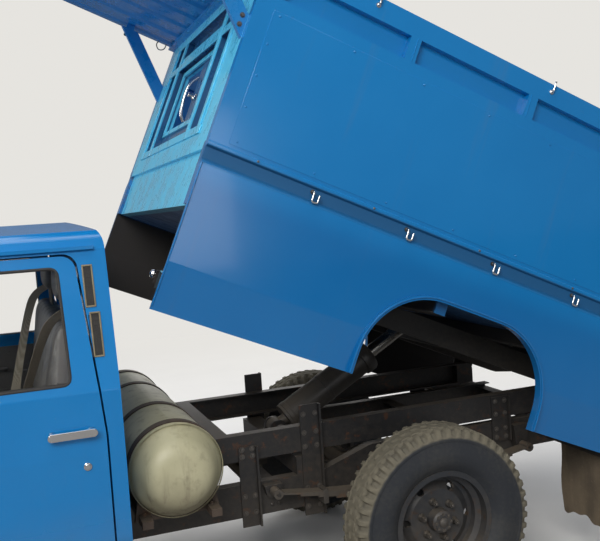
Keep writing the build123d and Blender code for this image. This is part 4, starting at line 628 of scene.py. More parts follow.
motor = Form()
motor.turned([(0, 0), (0, 0.125), (0.012, 0.132), (0.036, 0.132), (0.044, 0.120), (0.048, 0.02),
              (0.056, 0.016), (0.056, 0)], (2.58, -0.06, 0.985), (0, 0, 1), 40)
motor.block((2.70, -0.085, 0.975), (3.02, 0.075, 1.018))
for x in (2.72, 2.80, 2.92, 3.00):
    for y in (-0.075, 0.065):
        motor.bolt((x, y, 1.018), (0, 0, 1), 0.006)
motor.turned([(0, 0.028), (0.010, 0.030), (0.014, 0.022), (0.016, 0)], (2.96, -0.01, 1.018), (0, 0, 1), 20)
for x in (2.50, 2.64, 2.78, 2.92):
    motor.pipe([(x, 0.235, 0.86), (x, 0.285, 0.87), (x, 0.325, 0.80), (x + 0.01, 0.330, 0.76)], 0.021, 14)
motor.pipe([(2.48, 0.330, 0.75), (3.00, 0.330, 0.75)], 0.027, 16)
motor.turned([(0, 0.055), (0.03, 0.062), (0.10, 0.062), (0.12, 0.045), (0.13, 0.0)], (2.90, -0.315, 0.72),
             (1, 0, 0), 28)
motor.turned([(0, 0.045), (0.006, 0.047), (0.012, 0.038), (0.018, 0.047), (0.024, 0.045), (0.024, 0)],
             (3.035, -0.315, 0.72), (1, 0, 0), 28)
motor.turned([(0, 0.085), (0.008, 0.088), (0.014, 0.074), (0.022, 0.088), (0.030, 0.085), (0.030, 0)],
             (3.045, 0, 0.60), (1, 0, 0), 36)
motor.turned([(0, 0.03), (0.03, 0.03), (0.03, 0.062), (0.038, 0.064), (0.044, 0.052), (0.050, 0.064),
              (0.058, 0.062), (0.058, 0)], (3.041, 0, 0.80), (1, 0, 0), 32)
for i in range(6):
    blade = 2 * pi * i / 6
    tilt = Matrix.Rotation(blade, 4, "X") @ Matrix.Rotation(radians(28), 4, "Z")
    centre = Vector((3.130, 0, 0.80)) + Matrix.Rotation(blade, 3, "X") @ Vector((0, 0, 0.115))
    motor.block(centre - Vector((0.0015, 0.032, 0.075)), centre + Vector((0.0015, 0.032, 0.075)), tilt)
motor.turned([(0, 0.05), (0.012, 0.05), (0.02, 0.035), (0.024, 0)], (3.119, 0, 0.80), (1, 0, 0), 24)
motor.done("engine_dress", "chassis", "engine_iron", iron, bevel=0.003)

hose_black = dusty("hose_black", (0.018, 0.018, 0.018), DUST, 0.15, 0.55, 0.2, 0.9)
hoses = Form()
hoses.pipe([(3.00, 0.05, 0.975), (3.02, 0.10, 1.000), (3.14, 0.20, 0.985), (3.235, 0.20, 0.93)], 0.021, 14)
hoses.pipe([(3.045, -0.12, 0.52), (3.12, -0.20, 0.50), (3.19, -0.22, 0.56), (3.235, -0.22, 0.60)], 0.021, 14)
hoses.pipe([(3.052, -0.315, 0.765), (3.052, -0.02, 0.865)], 0.005, 8)
hoses.pipe([(3.052, -0.300, 0.675), (3.052, -0.07, 0.545)], 0.005, 8)
hoses.pipe([(3.052, 0.083, 0.61), (3.052, 0.062, 0.80)], 0.005, 8)
hoses.block((2.50, -0.60, 0.827), (2.74, -0.43, 1.005))
hoses.done("engine_hoses_and_battery", "chassis", "engine_iron", hose_black, bevel=0.003)

tray = Form()
tray.block((2.48, -0.62, 0.817), (2.76, -0.39, 0.827))
for x in (2.55, 2.69):
    tray.turned([(0, 0.011), (0.014, 0.009), (0.014, 0)], (x, -0.515, 1.005), (0, 0, 1), 16)
tray.block((2.60, -0.400, 0.64), (2.64, -0.385, 0.82))
tray.block((2.58, -0.400, 0.63), (2.66, -0.365, 0.642))
tray.done("battery_tray", "chassis", "engine_iron", bare_bolt, bevel=0.002)

core = Form()
for i in range(23):
    z = 0.60 + i * 0.0155
    core.block((3.2955, -0.275, z), (3.2975, 0.275, z + 0.006))
core.turned([(0, 0.024), (0.008, 0.024), (0.010, 0.030), (0.020, 0.030), (0.024, 0.02), (0.024, 0)],
            (3.265, 0.0, 0.985), (0, 0, 1), 24)
core.done("radiator_core", "chassis", "engine_iron", bare_bolt, bevel=0.001)

pipe_bits = Form()
for x in (1.10, 1.95, 2.30):
    pipe_bits.turned([(-0.012, 0.0255), (-0.012, 0.029), (0.012, 0.029), (0.012, 0.0255)], (x, -0.285, 0.355),
                     (1, 0, 0), 24)
    pipe_bits.block((x - 0.010, -0.300, 0.380), (x + 0.010, -0.270, 0.445))
for x in (1.252, 1.798):
    pipe_bits.turned([(-0.006, 0.072), (-0.006, 0.0755), (0.006, 0.0755), (0.006, 0.072)], (x, -0.285, 0.355),
                     (1, 0, 0), 36)
pipe_bits.done("exhaust_clamps", "chassis", "exhaust_steel", rusty, bevel=0.001)

tank_bits = Form()
for x in (1.40, 1.76):
    tank_bits.pipe([(x, 0.405, 0.555), (x, 0.652, 0.5525), (x, 0.6535, 0.298), (x, 0.405, 0.296)], 0.004, 6)
    tank_bits.block((x - 0.016, 0.6495, 0.33), (x + 0.016, 0.6535, 0.52))
tank_bits.turned([(0, 0.034), (0.018, 0.034), (0.020, 0.040), (0.036, 0.040), (0.042, 0.03), (0.042, 0)],
                 (1.46, 0.58, 0.546), (0, 0.35, 1), 28)
tank_bits.turned([(0, 0.012), (0.012, 0.012), (0.012, 0)], (1.58, 0.53, 0.296), (0, 0, -1), 6)
tank_bits.pipe([(1.69, 0.50, 0.547), (1.69, 0.46, 0.575), (1.74, 0.415, 0.565), (2.04, 0.405, 0.53)],
               0.004, 8)
tank_bits.done("tank_straps_and_cap", "chassis", "chassis_dark", bare_bolt, bevel=0.0015)

# Gas cylinder.
# A welded steel cylinder with domed ends, painted cream, strapped to a cradle of
# brown bars behind the cab. Grime runs down its sides and lies thickest underneath.
cream = Finish("cylinder_cream_worn")
cream_broad = cream.noise(6.0, 5.0)
cream_fine = cream.noise(70.0, 4.0)
cream_runs = cream.noise(1.0, 5.0, 0.6, cream.stretched(26.0, 26.0, 3.0))
low_grime = cream.step(cream.height + cream_broad * 0.16 - 0.08, 0.80, 0.60)
marks = cream.step(cream.noise(9.0, 8.0, 0.68), 0.56, 0.70)
stain = (low_grime * 0.55 + cream.step(cream_runs, 0.50, 0.78) * 0.40 + marks * 0.30 + cream_fine * 0.10
         - 0.04).clear()
cream_paint = cream.mix((0.45, 0.43, 0.27), (0.60, 0.57, 0.38), cream_broad)
cream_colour = cream.mix(cream_paint, (0.15, 0.12, 0.085), stain)
cream_material = cream.surface(Base_Color=cream_colour, Roughness=stain * 0.4 + 0.42,
                               Normal=cream.bump(cream_broad * 0.7 + cream_fine * 0.2, 0.004, 0.35))
cradle_paint = dusty("cradle_paint", (0.045, 0.030, 0.022), DUST, 0.35, 0.55, rust=(0.10, 0.045, 0.02))
dress(cream_material, "gas_cylinder")
dress(cradle_paint, "cylinder_cradle")

GAS_X = 1.057
GAS_Z = 0.765
seams = Form()
for y in (-0.648, 0.648):
    seams.turned([(y - 0.006, 0.1770), (y - 0.003, 0.1795), (y, 0.1803), (y + 0.003, 0.1795),
                  (y + 0.006, 0.1770)], (GAS_X, 0, GAS_Z), (0, 1, 0), 96)
seams.done("cylinder_weld_seams", "chassis", "cylinder_cream", cream_material)

straps = Form()
for y in (-0.60, -0.25, 0.25, 0.60):
    straps.block((GAS_X + 0.168, y - 0.020, 0.775), (GAS_X + 0.203, y + 0.020, 0.783))
    straps.block((GAS_X + 0.168, y - 0.020, 0.747), (GAS_X + 0.203, y + 0.020, 0.755))
    straps.bolt((GAS_X + 0.192, y, 0.783), (0, 0, 1), 0.006)
    straps.turned([(-0.02, 0.004), (0.03, 0.004), (0.03, 0)], (GAS_X + 0.192, y, 0.755), (0, 0, 1), 10)
    for dx in (-0.13, 0.13):
        straps.bolt((GAS_X + dx, y + (0.024 if y > 0 else -0.024), 0.609), (0, 0, 1), 0.008)
straps.done("cylinder_strap_clamps", "chassis", "chassis_dark", cradle_paint, bevel=0.0012)

fitting = Form()
fitting.turned([(-0.008, 0.036), (0.006, 0.034), (0.012, 0.022), (0.030, 0.020), (0.032, 0.012),
                (0.050, 0.012), (0.050, 0)], (GAS_X, -0.748, GAS_Z), (0, -1, 0), 24)
fitting.turned([(0, 0.022), (0.012, 0.024), (0.014, 0.016), (0.014, 0)], (GAS_X, -0.790, GAS_Z),
               (0, -1, 0), 12)
fitting.pipe([(GAS_X, -0.772, 0.760), (1.100, -0.775, 0.700), (1.200, -0.700, 0.560), (1.215, -0.550, 0.540),
              (1.222, -0.398, 0.545), (1.500, -0.392, 0.520)], 0.0045, 8)
brass = Finish("valve_brass")
brass_noise = brass.noise(40.0)
brass_material = brass.surface(Base_Color=brass.mix((0.45, 0.31, 0.11), (0.22, 0.16, 0.09), brass_noise),
                               Roughness=brass_noise * 0.4 + 0.25, Metallic=0.9)
fitting.done("cylinder_valve", "chassis", "bright_chrome", brass_material)

# Cab shell, roof and doors.
# Pressed steel panels in thick blue enamel, resprayed over old dents: slightly
# orange-peeled, dusty along the sills, chipped in places. Rubber seals the windows.


def enamel(name, deep, light, dust_line, wear=0.3):
    """Glossy enamel with dust low down, a few runs and chips, and a slightly uneven surface."""
    f = Finish(name)
    broad = f.noise(0.9, 3.0)
    clouds = f.noise(5.0, 5.0)
    peel = f.noise(190.0, 2.0)
    waves = f.noise(2.1, 2.0)
    streaks = f.noise(1.0, 4.0, 0.6, f.stretched(20.0, 20.0, 1.6))
    chips = f.step(f.noise(34.0, 9.0, 0.72), 0.665, 0.70) * f.step(f.noise(3.0, 3.0), 0.5, 0.62) * wear
    haze = f.step(f.height + clouds * 0.25 - 0.12, dust_line[1], dust_line[0])
    dust = (haze * 0.35 + f.step(streaks, 0.56, 0.80) * 0.16 * wear + clouds * 0.04 - 0.02).clear()
    paint = f.mix(deep, light, broad * 0.75 + clouds * 0.25)
    paint = f.mix(paint, (0.16, 0.155, 0.145), dust)
    colour = f.mix(paint, (0.09, 0.060, 0.045), chips)
    rough = (dust * 0.55 + clouds * 0.14 + chips * 0.4 + 0.16).clear()
    skin_bump = f.bump(waves + clouds * 0.25, 0.010, 0.22)
    return f.surface(Base_Color=colour, Roughness=rough, Coat_Weight=0.35, Coat_Roughness=0.10,
                     Normal=f.bump(peel - chips * 2.0, 0.0006, 0.30, skin_bump))


BLUE_DEEP = (0.002, 0.165, 0.470)
BLUE_LIGHT = (0.004, 0.250, 0.640)
cab_enamel = enamel("cab_enamel", BLUE_DEEP, BLUE_LIGHT, (0.45, 0.80))
dress(cab_enamel, "cab_body", "cab_roof", "door_left", "door_right", "front_wings", "hood")

glass = Finish("cab_glass_clear")
glass_dirt = glass.step(glass.noise(4.0, 6.0), 0.45, 0.8)
glass_material = glass.surface(Base_Color=(0.86, 0.92, 0.90),
                               Roughness=glass_dirt * 0.10 + 0.02, Transmission_Weight=1.0, IOR=1.45,
                               Alpha=0.55)
dress(glass_material, "cab_glass", "quarter_glass_left", "quarter_glass_right")

seal = Finish("seal_rubber")
seal_noise = seal.noise(50.0)
seal_material = seal.surface(Base_Color=seal.mix((0.012, 0.012, 0.013), (0.05, 0.047, 0.043), seal_noise),
                             Roughness=seal_noise * 0.2 + 0.6)

chrome = Finish("chrome_bright")
chrome_noise = chrome.noise(30.0, 6.0)
chrome_pits = chrome.step(chrome.noise(120.0, 3.0), 0.66, 0.74)
chrome_colour = chrome.mix((0.66, 0.67, 0.68), (0.20, 0.16, 0.12), chrome_pits * 0.6)
chrome_material = chrome.surface(Base_Color=chrome_colour, Metallic=1.0,
                                 Roughness=chrome_noise * 0.16 + chrome_pits * 0.3 + 0.10)

BELT_HEIGHT = 1.140
BELT_HALF = 0.845
ROOF_HALF = 0.722
BELT_TO_ROOF = 0.480
CAB_LEAN = atan2(BELT_HALF - ROOF_HALF, BELT_TO_ROOF)


def cab_y(z):
    """Half the cab's width at a height, which narrows above the belt."""
    return BELT_HALF - max(0.0, z - BELT_HEIGHT) * (BELT_HALF - ROOF_HALF) / BELT_TO_ROOF


def far_side(piece, side):
    """Turns a piece of the left side into the one of the right, where side is below 0."""
    if side < 0:
        piece.data.transform(Matrix.Scale(-1, 4, (0, 1, 0)))
        piece.data.flip_normals()


def round_block(form, corners, axis, least, offset):
    """Rounds those edges of a block that reach farther than least along an axis."""
    edges = [edge for edge in form.mesh.edges if all(corner in corners for corner in edge.verts)
             and abs(edge.verts[0].co[axis] - edge.verts[1].co[axis]) > least]
    bmesh.ops.bevel(form.mesh, geom=edges, offset=offset, segments=6, affect="EDGES", profile=0.5)


def on_door(x, z):
    """A point just under the skin of the left door."""
    return (x, cab_y(z) - 0.002, z)


def loop(corners, cut, steps, place):
    """A closed line round an outline with eased corners, put in place by a function."""
    points = []
    count = len(corners)
    for i in range(count):
        before, here, after = (Vector(corners[(i + k) % count]) for k in (-1, 0, 1))
        a = here + (before - here).normalized() * cut
        b = here + (after - here).normalized() * cut
        for step in range(steps + 1):
            t = step / steps
            p = a * (1 - t) ** 2 + here * (2 * t * (1 - t)) + b * t ** 2
            points.append(Vector(place(p.x, p.y)))
    return points


def ring_pipe(form, points, radius, segments=8, facing=(0, 1, 0)):
    """A closed round bar through points that lie in a plane with that facing."""
    count = len(points)
    rings = []
    for i, point in enumerate(points):
        ahead = (points[(i + 1) % count] - points[i - 1]).normalized()
        side = Vector(facing)
        side = (side - ahead * side.dot(ahead)).normalized()
        rings.append(form.ring(point, side, ahead.cross(side), radius, segments))
    for i in range(count):
        form.band(rings[i], rings[(i + 1) % count], segments)


def held(value, most):
    """A value kept between most and its negative."""
    return max(-most, min(most, value))


WINDOW = [(1.425, 1.172), (2.208, 1.172), (2.040, 1.562), (1.433, 1.562)]
PILLAR_X = 1.950
HANDLE_SKIN = 0.8484
MIRROR_SKIN = 0.8465
MIRROR_TURN = radians(8)
shine = Finish("mirror_silver")
silver_material = shine.surface(Base_Color=(0.85, 0.87, 0.88), Metallic=1.0,
                                Roughness=shine.noise(12.0) * 0.03 + 0.01)
pane = [(held(0.08505 * cos(a), 0.060), held(0.11475 * sin(a), 0.085))
        for a in (2 * pi * i / 40 for i in range(40))]
for side_name, side in (("left", 1), ("right", -1)):
    rubber_trim = Form()
    ring_pipe(rubber_trim, loop(WINDOW, 0.030, 5, on_door), 0.0055)
    rubber_trim.block((PILLAR_X - 0.010, cab_y(1.37) - 0.020, 1.172),
                      (PILLAR_X + 0.010, cab_y(1.37) - 0.002, 1.562), Matrix.Rotation(CAB_LEAN, 4, "X"))
    rubber_trim.block((1.440, cab_y(1.172) - 0.030, 1.160), (1.945, cab_y(1.172) - 0.004, 1.176))
    piece = rubber_trim.done(f"door_seal_{side_name}", f"door_{side_name}", "dash_plastic", seal_material)
    far_side(piece, side)

    handle = Form()
    skin = HANDLE_SKIN
    handle.turned([(0, 0.0), (0, 0.0135), (0.004, 0.0145), (0.006, 0.0125), (0.006, 0)], (1.395, skin, 0.892),
                  (0, 1, 0), 28)
    handle.turned([(0.006, 0.0095), (0.0085, 0.009), (0.0085, 0)], (1.395, skin, 0.892), (0, 1, 0), 24)
    for x in (1.372, 1.500):
        handle.turned([(0, 0.0150), (0.004, 0.0135), (0.016, 0.0095), (0.020, 0.0095), (0.020, 0)],
                      (x, skin, 1.010), (0, 1, 0), 24)
    grip = handle.block((1.355, skin + 0.0185, 0.9965), (1.518, skin + 0.0305, 1.0235))
    round_block(handle, grip, 1, 0.005, 0.0125)
    piece = handle.done(f"door_handle_{side_name}", f"door_{side_name}", "bright_chrome", chrome_material,
                        bevel=0.0025)
    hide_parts(f"door_fittings_{side_name}")
    far_side(piece, side)

    mirror = Form()
    skin = MIRROR_SKIN
    mirror.plate([(-0.03, -0.02), (0.03, -0.02), (0.03, 0.02), (-0.03, 0.02)], (2.220, skin + 0.001, 1.085),
                 (-1, 0, 0), (0, 0, 1), 0.004)
    mirror.pipe([(2.220, skin, 1.085), (2.224, skin + 0.05, 1.120), (2.238, skin + 0.095, 1.205),
                 (2.240, skin + 0.115, 1.26)], 0.0065, 10)
    for dx in (-0.022, 0.022):
        mirror.rivet((2.220 + dx, skin + 0.005, 1.085), (0, 1, 0), 0.005)
    head = mirror.block((2.227, skin + 0.061, 1.196), (2.253, skin + 0.209, 1.394),
                        Matrix.Rotation(-MIRROR_TURN, 4, "Z"))
    round_block(mirror, head, 0, 0.012, 0.03)
    piece = mirror.done(f"mirror_{side_name}", f"door_{side_name}", "bright_chrome", seal_material,
                        bevel=0.003)
    far_side(piece, side)

    silver = Form()
    silver.plate(pane, (2.2262, skin + 0.1325, 1.295), (-sin(MIRROR_TURN), -cos(MIRROR_TURN), 0),
                 (0, 0, 1), 0.0012)
    piece = silver.done(f"mirror_glass_{side_name}", f"door_{side_name}", "bright_chrome", silver_material)
    far_side(piece, side)

# Vents, wipers and screen seals of the cab.
# Each rear pillar has two upright vents: a pale pressed frame round dark woven mesh.
# The windscreen and the rear window sit in black rubber.
vent_frame = Finish("vent_frame_brass")
vent_noise = vent_frame.noise(35.0, 4.0)
vent_colour = vent_frame.mix((0.34, 0.30, 0.20), (0.16, 0.13, 0.08), vent_noise)
vent_material = vent_frame.surface(Base_Color=vent_colour, Roughness=vent_noise * 0.3 + 0.3, Metallic=0.55)
frames, meshes = Form(), Form()
for mid, half in ((1.494, 0.070), (1.329, 0.073)):
    y = cab_y(mid)
    x = 1.333 - (1.494 - mid) * 0.06
    tip = Matrix.Rotation(CAB_LEAN, 4, "X")
    for dz in (-half, half):
        bar = frames.block((x - 0.018, y - 0.003, mid + dz - 0.003), (x + 0.018, y + 0.004, mid + dz + 0.003),
                           tip)
        frames.move(bar, Matrix.Translation((0, -dz * sin(CAB_LEAN), 0)))
    for dx in (-0.0155, 0.0155):
        frames.block((x + dx - 0.0028, y - 0.003, mid - half), (x + dx + 0.0028, y + 0.004, mid + half), tip)
    for i in range(9):
        dz = -half + 0.010 + i * (2 * half - 0.020) / 8
        wire = meshes.block((x - 0.014, y + 0.0002, mid + dz - 0.001),
                            (x + 0.014, y + 0.0022, mid + dz + 0.001), tip)
        meshes.move(wire, Matrix.Translation((0, -dz * sin(CAB_LEAN), 0)))
    for dx in (-0.009, -0.003, 0.003, 0.009):
        meshes.block((x + dx - 0.0008, y + 0.0002, mid - half), (x + dx + 0.0008, y + 0.0018, mid + half),
                     tip)
    meshes.block((x - 0.014, y - 0.003, mid - half), (x + 0.014, y + 0.0006, mid + half), tip)
frames.done("pillar_vent_frames", "chassis", "bright_chrome", vent_material, bevel=0.0012, both=True)
meshes.done("pillar_vent_mesh", "chassis", "dash_plastic", seal_material, both=True)

SCREEN_FOOT = (2.400, 1.135)
SCREEN_HEAD = (2.085, 1.728)
SCREEN_FACING = (0.88, 0, 0.47)
CAB_REAR = 1.265


def on_screen(y, z):
    """A point on the windscreen's outer face."""
    share = (z - SCREEN_FOOT[1]) / (SCREEN_HEAD[1] - SCREEN_FOOT[1])
    return (SCREEN_FOOT[0] + (SCREEN_HEAD[0] - SCREEN_FOOT[0]) * share, y, z)


wipers = Form()
for y in (-0.30, 0.34):
    foot = Vector(on_screen(y, 1.165))
    tip = Vector(on_screen(y - 0.30, 1.215))
    spindle = Vector(on_screen(y, 1.150)) - Vector((0.004, 0, 0))
    wipers.turned([(0, 0.014), (0.020, 0.012), (0.026, 0)], spindle, SCREEN_FACING, 16)
    out = Vector((0.020, 0, 0.010))
    wipers.pipe([foot + out, foot.lerp(tip, 0.5) + out * 1.3, tip + out], 0.0035, 8)
    blade = [Vector(on_screen(y - 0.10, 1.165)) + out * 0.6, Vector(on_screen(y - 0.46, 1.235)) + out * 0.6]
    wipers.pipe(blade, 0.004, 8)
wipers.done("wipers", "chassis", "dash_plastic", seal_material)

rubbers = Form()
front_corners = [(-0.740, 1.180), (0.740, 1.180), (0.630, 1.595), (-0.630, 1.595)]
rear_corners = [(-0.560, 1.200), (0.560, 1.200), (0.520, 1.535), (-0.520, 1.535)]
front_line = loop(front_corners, 0.050, 4, on_screen)
rear_line = loop(rear_corners, 0.050, 4, lambda y, z: (CAB_REAR + 0.001, y, z))
ring_pipe(rubbers, front_line, 0.011, facing=SCREEN_FACING)
ring_pipe(rubbers, rear_line, 0.010, facing=(-1, 0, 0))
rubbers.done("screen_rubbers", "chassis", "dash_plastic", seal_material)

# Front end.
# A painted grille with round lamps, amber indicators and a chromed channel bumper.
# The lenses are fluted glass in thin chrome rims.
NOSE = 3.455
grille_paint = dusty("grille_paint", (0.36, 0.37, 0.36), DUST, 0.30, 0.38, 0.5, 0.9)
lens = Finish("lamp_lens_fluted")
flutes = lens.node("ShaderNodeTexWave", {"bands_direction": "Y"}, {"Vector": lens.place, "Scale": 34.0},
                   out="Fac")
lens_dirt = lens.step(lens.noise(12.0, 5.0), 0.5, 0.85)
lens_material = lens.surface(Base_Color=lens.mix((0.70, 0.72, 0.72), (0.36, 0.33, 0.28), lens_dirt),
                             Metallic=0.55, Roughness=lens_dirt * 0.3 + 0.10, Coat_Weight=1.0,
                             Normal=lens.bump(flutes, 0.002, 0.5))


def lens_finish(name, deep, light):
    """A moulded plastic lens with fine ribs."""
    f = Finish(name)
    ribs = f.node("ShaderNodeTexWave", {"bands_direction": "Z"}, {"Vector": f.place, "Scale": 60.0},
                  out="Fac")
    grime = f.step(f.noise(20.0, 5.0), 0.45, 0.85)
    return f.surface(Base_Color=f.mix(f.mix(deep, light, ribs), (0.16, 0.12, 0.08), grime * 0.5),
                     Roughness=grime * 0.4 + 0.15, Coat_Weight=0.6, Normal=f.bump(ribs, 0.001, 0.4))


amber = lens_finish("indicator_amber", (0.55, 0.16, 0.01), (0.80, 0.28, 0.02))
red_lens = lens_finish("lamp_red_lens", (0.32, 0.008, 0.006), (0.52, 0.015, 0.01))
clear_lens = lens_finish("lamp_clear_lens", (0.42, 0.42, 0.40), (0.62, 0.62, 0.60))
dress(grille_paint, "grille_panel")
dress(lens_material, "headlamps")
dress(chrome_material, "front_bumper")

rims = Form()
rims.turned([(-0.002, 0.0815), (-0.002, 0.0960), (0.004, 0.0960), (0.010, 0.0920), (0.0105, 0.0850),
             (0.004, 0.0815), (-0.002, 0.0815)], (NOSE, 0.590, 0.805), (1, 0, 0), 72)
rims.turned([(0, 0.0360), (0.005, 0.0360), (0.007, 0.0330), (0.007, 0.030)], (NOSE - 0.001, 0.590, 0.684),
            (1, 0, 0), 40)
for z in (0.720, 0.890):
    rims.rivet((NOSE, 0.700, z), (1, 0, 0), 0.005)
rims.done("headlamp_rims", "chassis", "bright_chrome", chrome_material, both=True)
winkers = Form()
winkers.turned([(0.001, 0.0335), (0.010, 0.0315), (0.016, 0.020), (0.018, 0.0)], (NOSE, 0.590, 0.684),
               (1, 0, 0), 36)
winkers.done("front_indicators", "chassis", "lamp_red", amber, both=True)

bumper_bits = Form()
for y in (0.350, 0.390):
    for z in (0.540, 0.585):
        bumper_bits.bolt((NOSE + 0.0748, y, z), (1, 0, 0), 0.009)
bumper_bits.done("bumper_bolts", "chassis", "bright_chrome", nut_steel, both=True)
slats = Form()
for z in (0.652, 0.944):
    slats.block((NOSE - 0.004, -0.700, z), (NOSE + 0.003, 0.700, z + 0.008))
for y in (-0.235, 0.0, 0.235):
    slats.block((NOSE - 0.006, y - 0.004, 0.690), (NOSE - 0.0005, y + 0.004, 0.915))
slats.block((NOSE + 0.072, -0.24, 0.505), (NOSE + 0.0745, 0.24, 0.617))
slats.done("grille_mouldings", "chassis", "body_blue", grille_paint, bevel=0.0015)

hood_bits = Form()
hood_slope = Matrix.Rotation(radians(5.0), 4, "Y")
hood_bits.block((2.47, -0.150, 1.1235), (2.53, 0.150, 1.1285), hood_slope)
for i in range(8):
    y = -0.140 + i * 0.040
    hood_bits.block((2.475, y - 0.012, 1.1275), (2.525, y + 0.012, 1.1300), hood_slope)
hood_bits.done("cowl_air_grille", "hood", "dash_plastic", seal_material, bevel=0.001)

# Cab interior.
# A vinyl bench in pleated cushions on a steel frame, with two head restraints and
# shoulder belts in woven webbing. The dash and the thin steering wheel are black plastic.
vinyl = Finish("seat_vinyl_grey")
vinyl_fine = vinyl.noise(320.0, 2.0)
vinyl_soft = vinyl.noise(7.0, 4.0)
vinyl_wear = vinyl.step(vinyl.noise(3.0, 6.0), 0.50, 0.75)
vinyl_age = vinyl_soft * 0.7 + vinyl_wear * 0.4
vinyl_colour = vinyl.mix((0.085, 0.088, 0.095), (0.21, 0.195, 0.175), vinyl_age)
vinyl_material = vinyl.surface(Base_Color=vinyl_colour, Roughness=vinyl_wear * 0.25 + 0.42,
                               Normal=vinyl.bump(vinyl_fine * 0.5 + vinyl_soft, 0.0015, 0.5))
plastic = Finish("dash_plastic_black")
plastic_grain = plastic.noise(240.0, 3.0)
plastic_dust = plastic.step(plastic.noise(5.0, 5.0), 0.4, 0.9)
plastic_colour = plastic.mix((0.014, 0.014, 0.016), (0.085, 0.075, 0.060), plastic_dust * 0.7)
plastic_material = plastic.surface(Base_Color=plastic_colour, Roughness=plastic_dust * 0.3 + 0.45,
                                   Normal=plastic.bump(plastic_grain, 0.0006, 0.5))
dress(plastic_material, "dashboard", "steering_wheel")
dress(chassis_paint, "steering_column")
dress(vinyl_material, "bench_seat")

SEAT_X = 1.335
SEAT_FLOOR = 0.680


def cushion(name, corners, half, middle, fill, travel, crown):
    """A sewn cushion: a drawn side section made wide, swollen as cloth, then seamed."""
    form = Form()
    around = [Vector(c) for c in corners]
    centre = sum(around, Vector((0, 0))) / len(around)
    pulled = [centre + (c - centre) * 0.97 for c in around]
    form.plate(pulled, (SEAT_X, middle + half - 0.006, SEAT_FLOOR), (1, 0, 0), (0, 0, 1), (half - 0.006) * 2)
    piece = form.done(name, "chassis", "seat_vinyl", vinyl_material, crease=180)
    shape = piece.modifiers.new("round", "BEVEL")
    shape.width = 0.022
    shape.segments = 3
    shape.limit_method = "ANGLE"
    cells = piece.modifiers.new("cells", "REMESH")
    cells.mode = "VOXEL"
    cells.voxel_size = 0.012
    cells.use_smooth_shade = True
    apply_all(piece)
    still = [v.co.copy() for v in piece.data.vertices]
    swell = piece.modifiers.new("swell", "CLOTH")
    swell.settings.use_pressure = True
    swell.settings.uniform_pressure_force = 4.0
    swell.settings.quality = 4
    swell.settings.effector_weights.gravity = 0.0
    swell.point_cache.frame_start = 1
    swell.point_cache.frame_end = 20
    for step in range(1, 21):
        bpy.context.scene.frame_set(step)
    apply_all(piece)
    bpy.context.scene.frame_set(1)
    flat_low = min(v.z for v in still) + 0.004
    for v, was in zip(piece.data.vertices, still):
        moved = v.co - was
        if moved.length > travel:
            v.co = was + moved.normalized() * travel
        if was.z < flat_low:
            v.co = was
        row = (was.y - middle) / crown
        seam = abs(row - round(row)) * crown
        inside = abs(was.y - middle) < half - 0.05
        if inside and seam < 0.016:
            v.co -= v.normal * 0.006 * (1 - seam / 0.016)
    piece.data.update()
    return piece


def apply_all(piece):
    """Bakes a piece's modifiers into its mesh."""
    graph = bpy.context.evaluated_depsgraph_get()
    baked = bpy.data.meshes.new_from_object(piece.evaluated_get(graph))
    piece.modifiers.clear()
    piece.data = baked


base_corners = [(0.105, 0.015), (0.555, 0.015), (0.580, 0.185), (0.560, 0.226), (0.200, 0.200),
                (0.110, 0.150)]
back_corners = [(0.070, 0.190), (0.170, 0.215), (0.100, 0.690), (0.016, 0.690)]
head_corners = [(0.024, 0.742), (0.092, 0.742), (0.090, 0.876), (0.030, 0.876)]
# Name, corners in X and Z, half width, middle, fill, travel, seam spacing
cushion_table = [
    ("seat_base_cushion", base_corners, 0.700, 0.0, 0.8, 0.014, 0.140),
    ("seat_back_cushion", back_corners, 0.700, 0.0, 0.7, 0.014, 0.140),
    ("head_cushion_left", head_corners, 0.122, 0.370, 0.9, 0.007, 0.5),
    ("head_cushion_right", head_corners, 0.122, -0.370, 0.9, 0.007, 0.5),
]
cushions = [cushion(*row) for row in cushion_table]
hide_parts("bench_seat")

seat_frame = Form()
for y in (-0.62, -0.10, 0.10, 0.62):
    seat_frame.block((SEAT_X + 0.10, y - 0.02, SEAT_FLOOR), (SEAT_X + 0.54, y + 0.02, SEAT_FLOOR + 0.018))
for y in (-0.55, 0.55):
    seat_frame.pipe([(SEAT_X + 0.16, y, SEAT_FLOOR + 0.02), (SEAT_X + 0.075, y, SEAT_FLOOR + 0.20),
                     (SEAT_X + 0.03, y, SEAT_FLOOR + 0.62)], 0.011, 10)
for y in (-0.420, -0.320, 0.320, 0.420):
    seat_frame.pipe([(SEAT_X + 0.058, y, SEAT_FLOOR + 0.66), (SEAT_X + 0.058, y, SEAT_FLOOR + 0.76)],
                    0.006, 10)
seat_frame.done("seat_frame", "chassis", "seat_vinyl", bare_bolt, bevel=0.002)

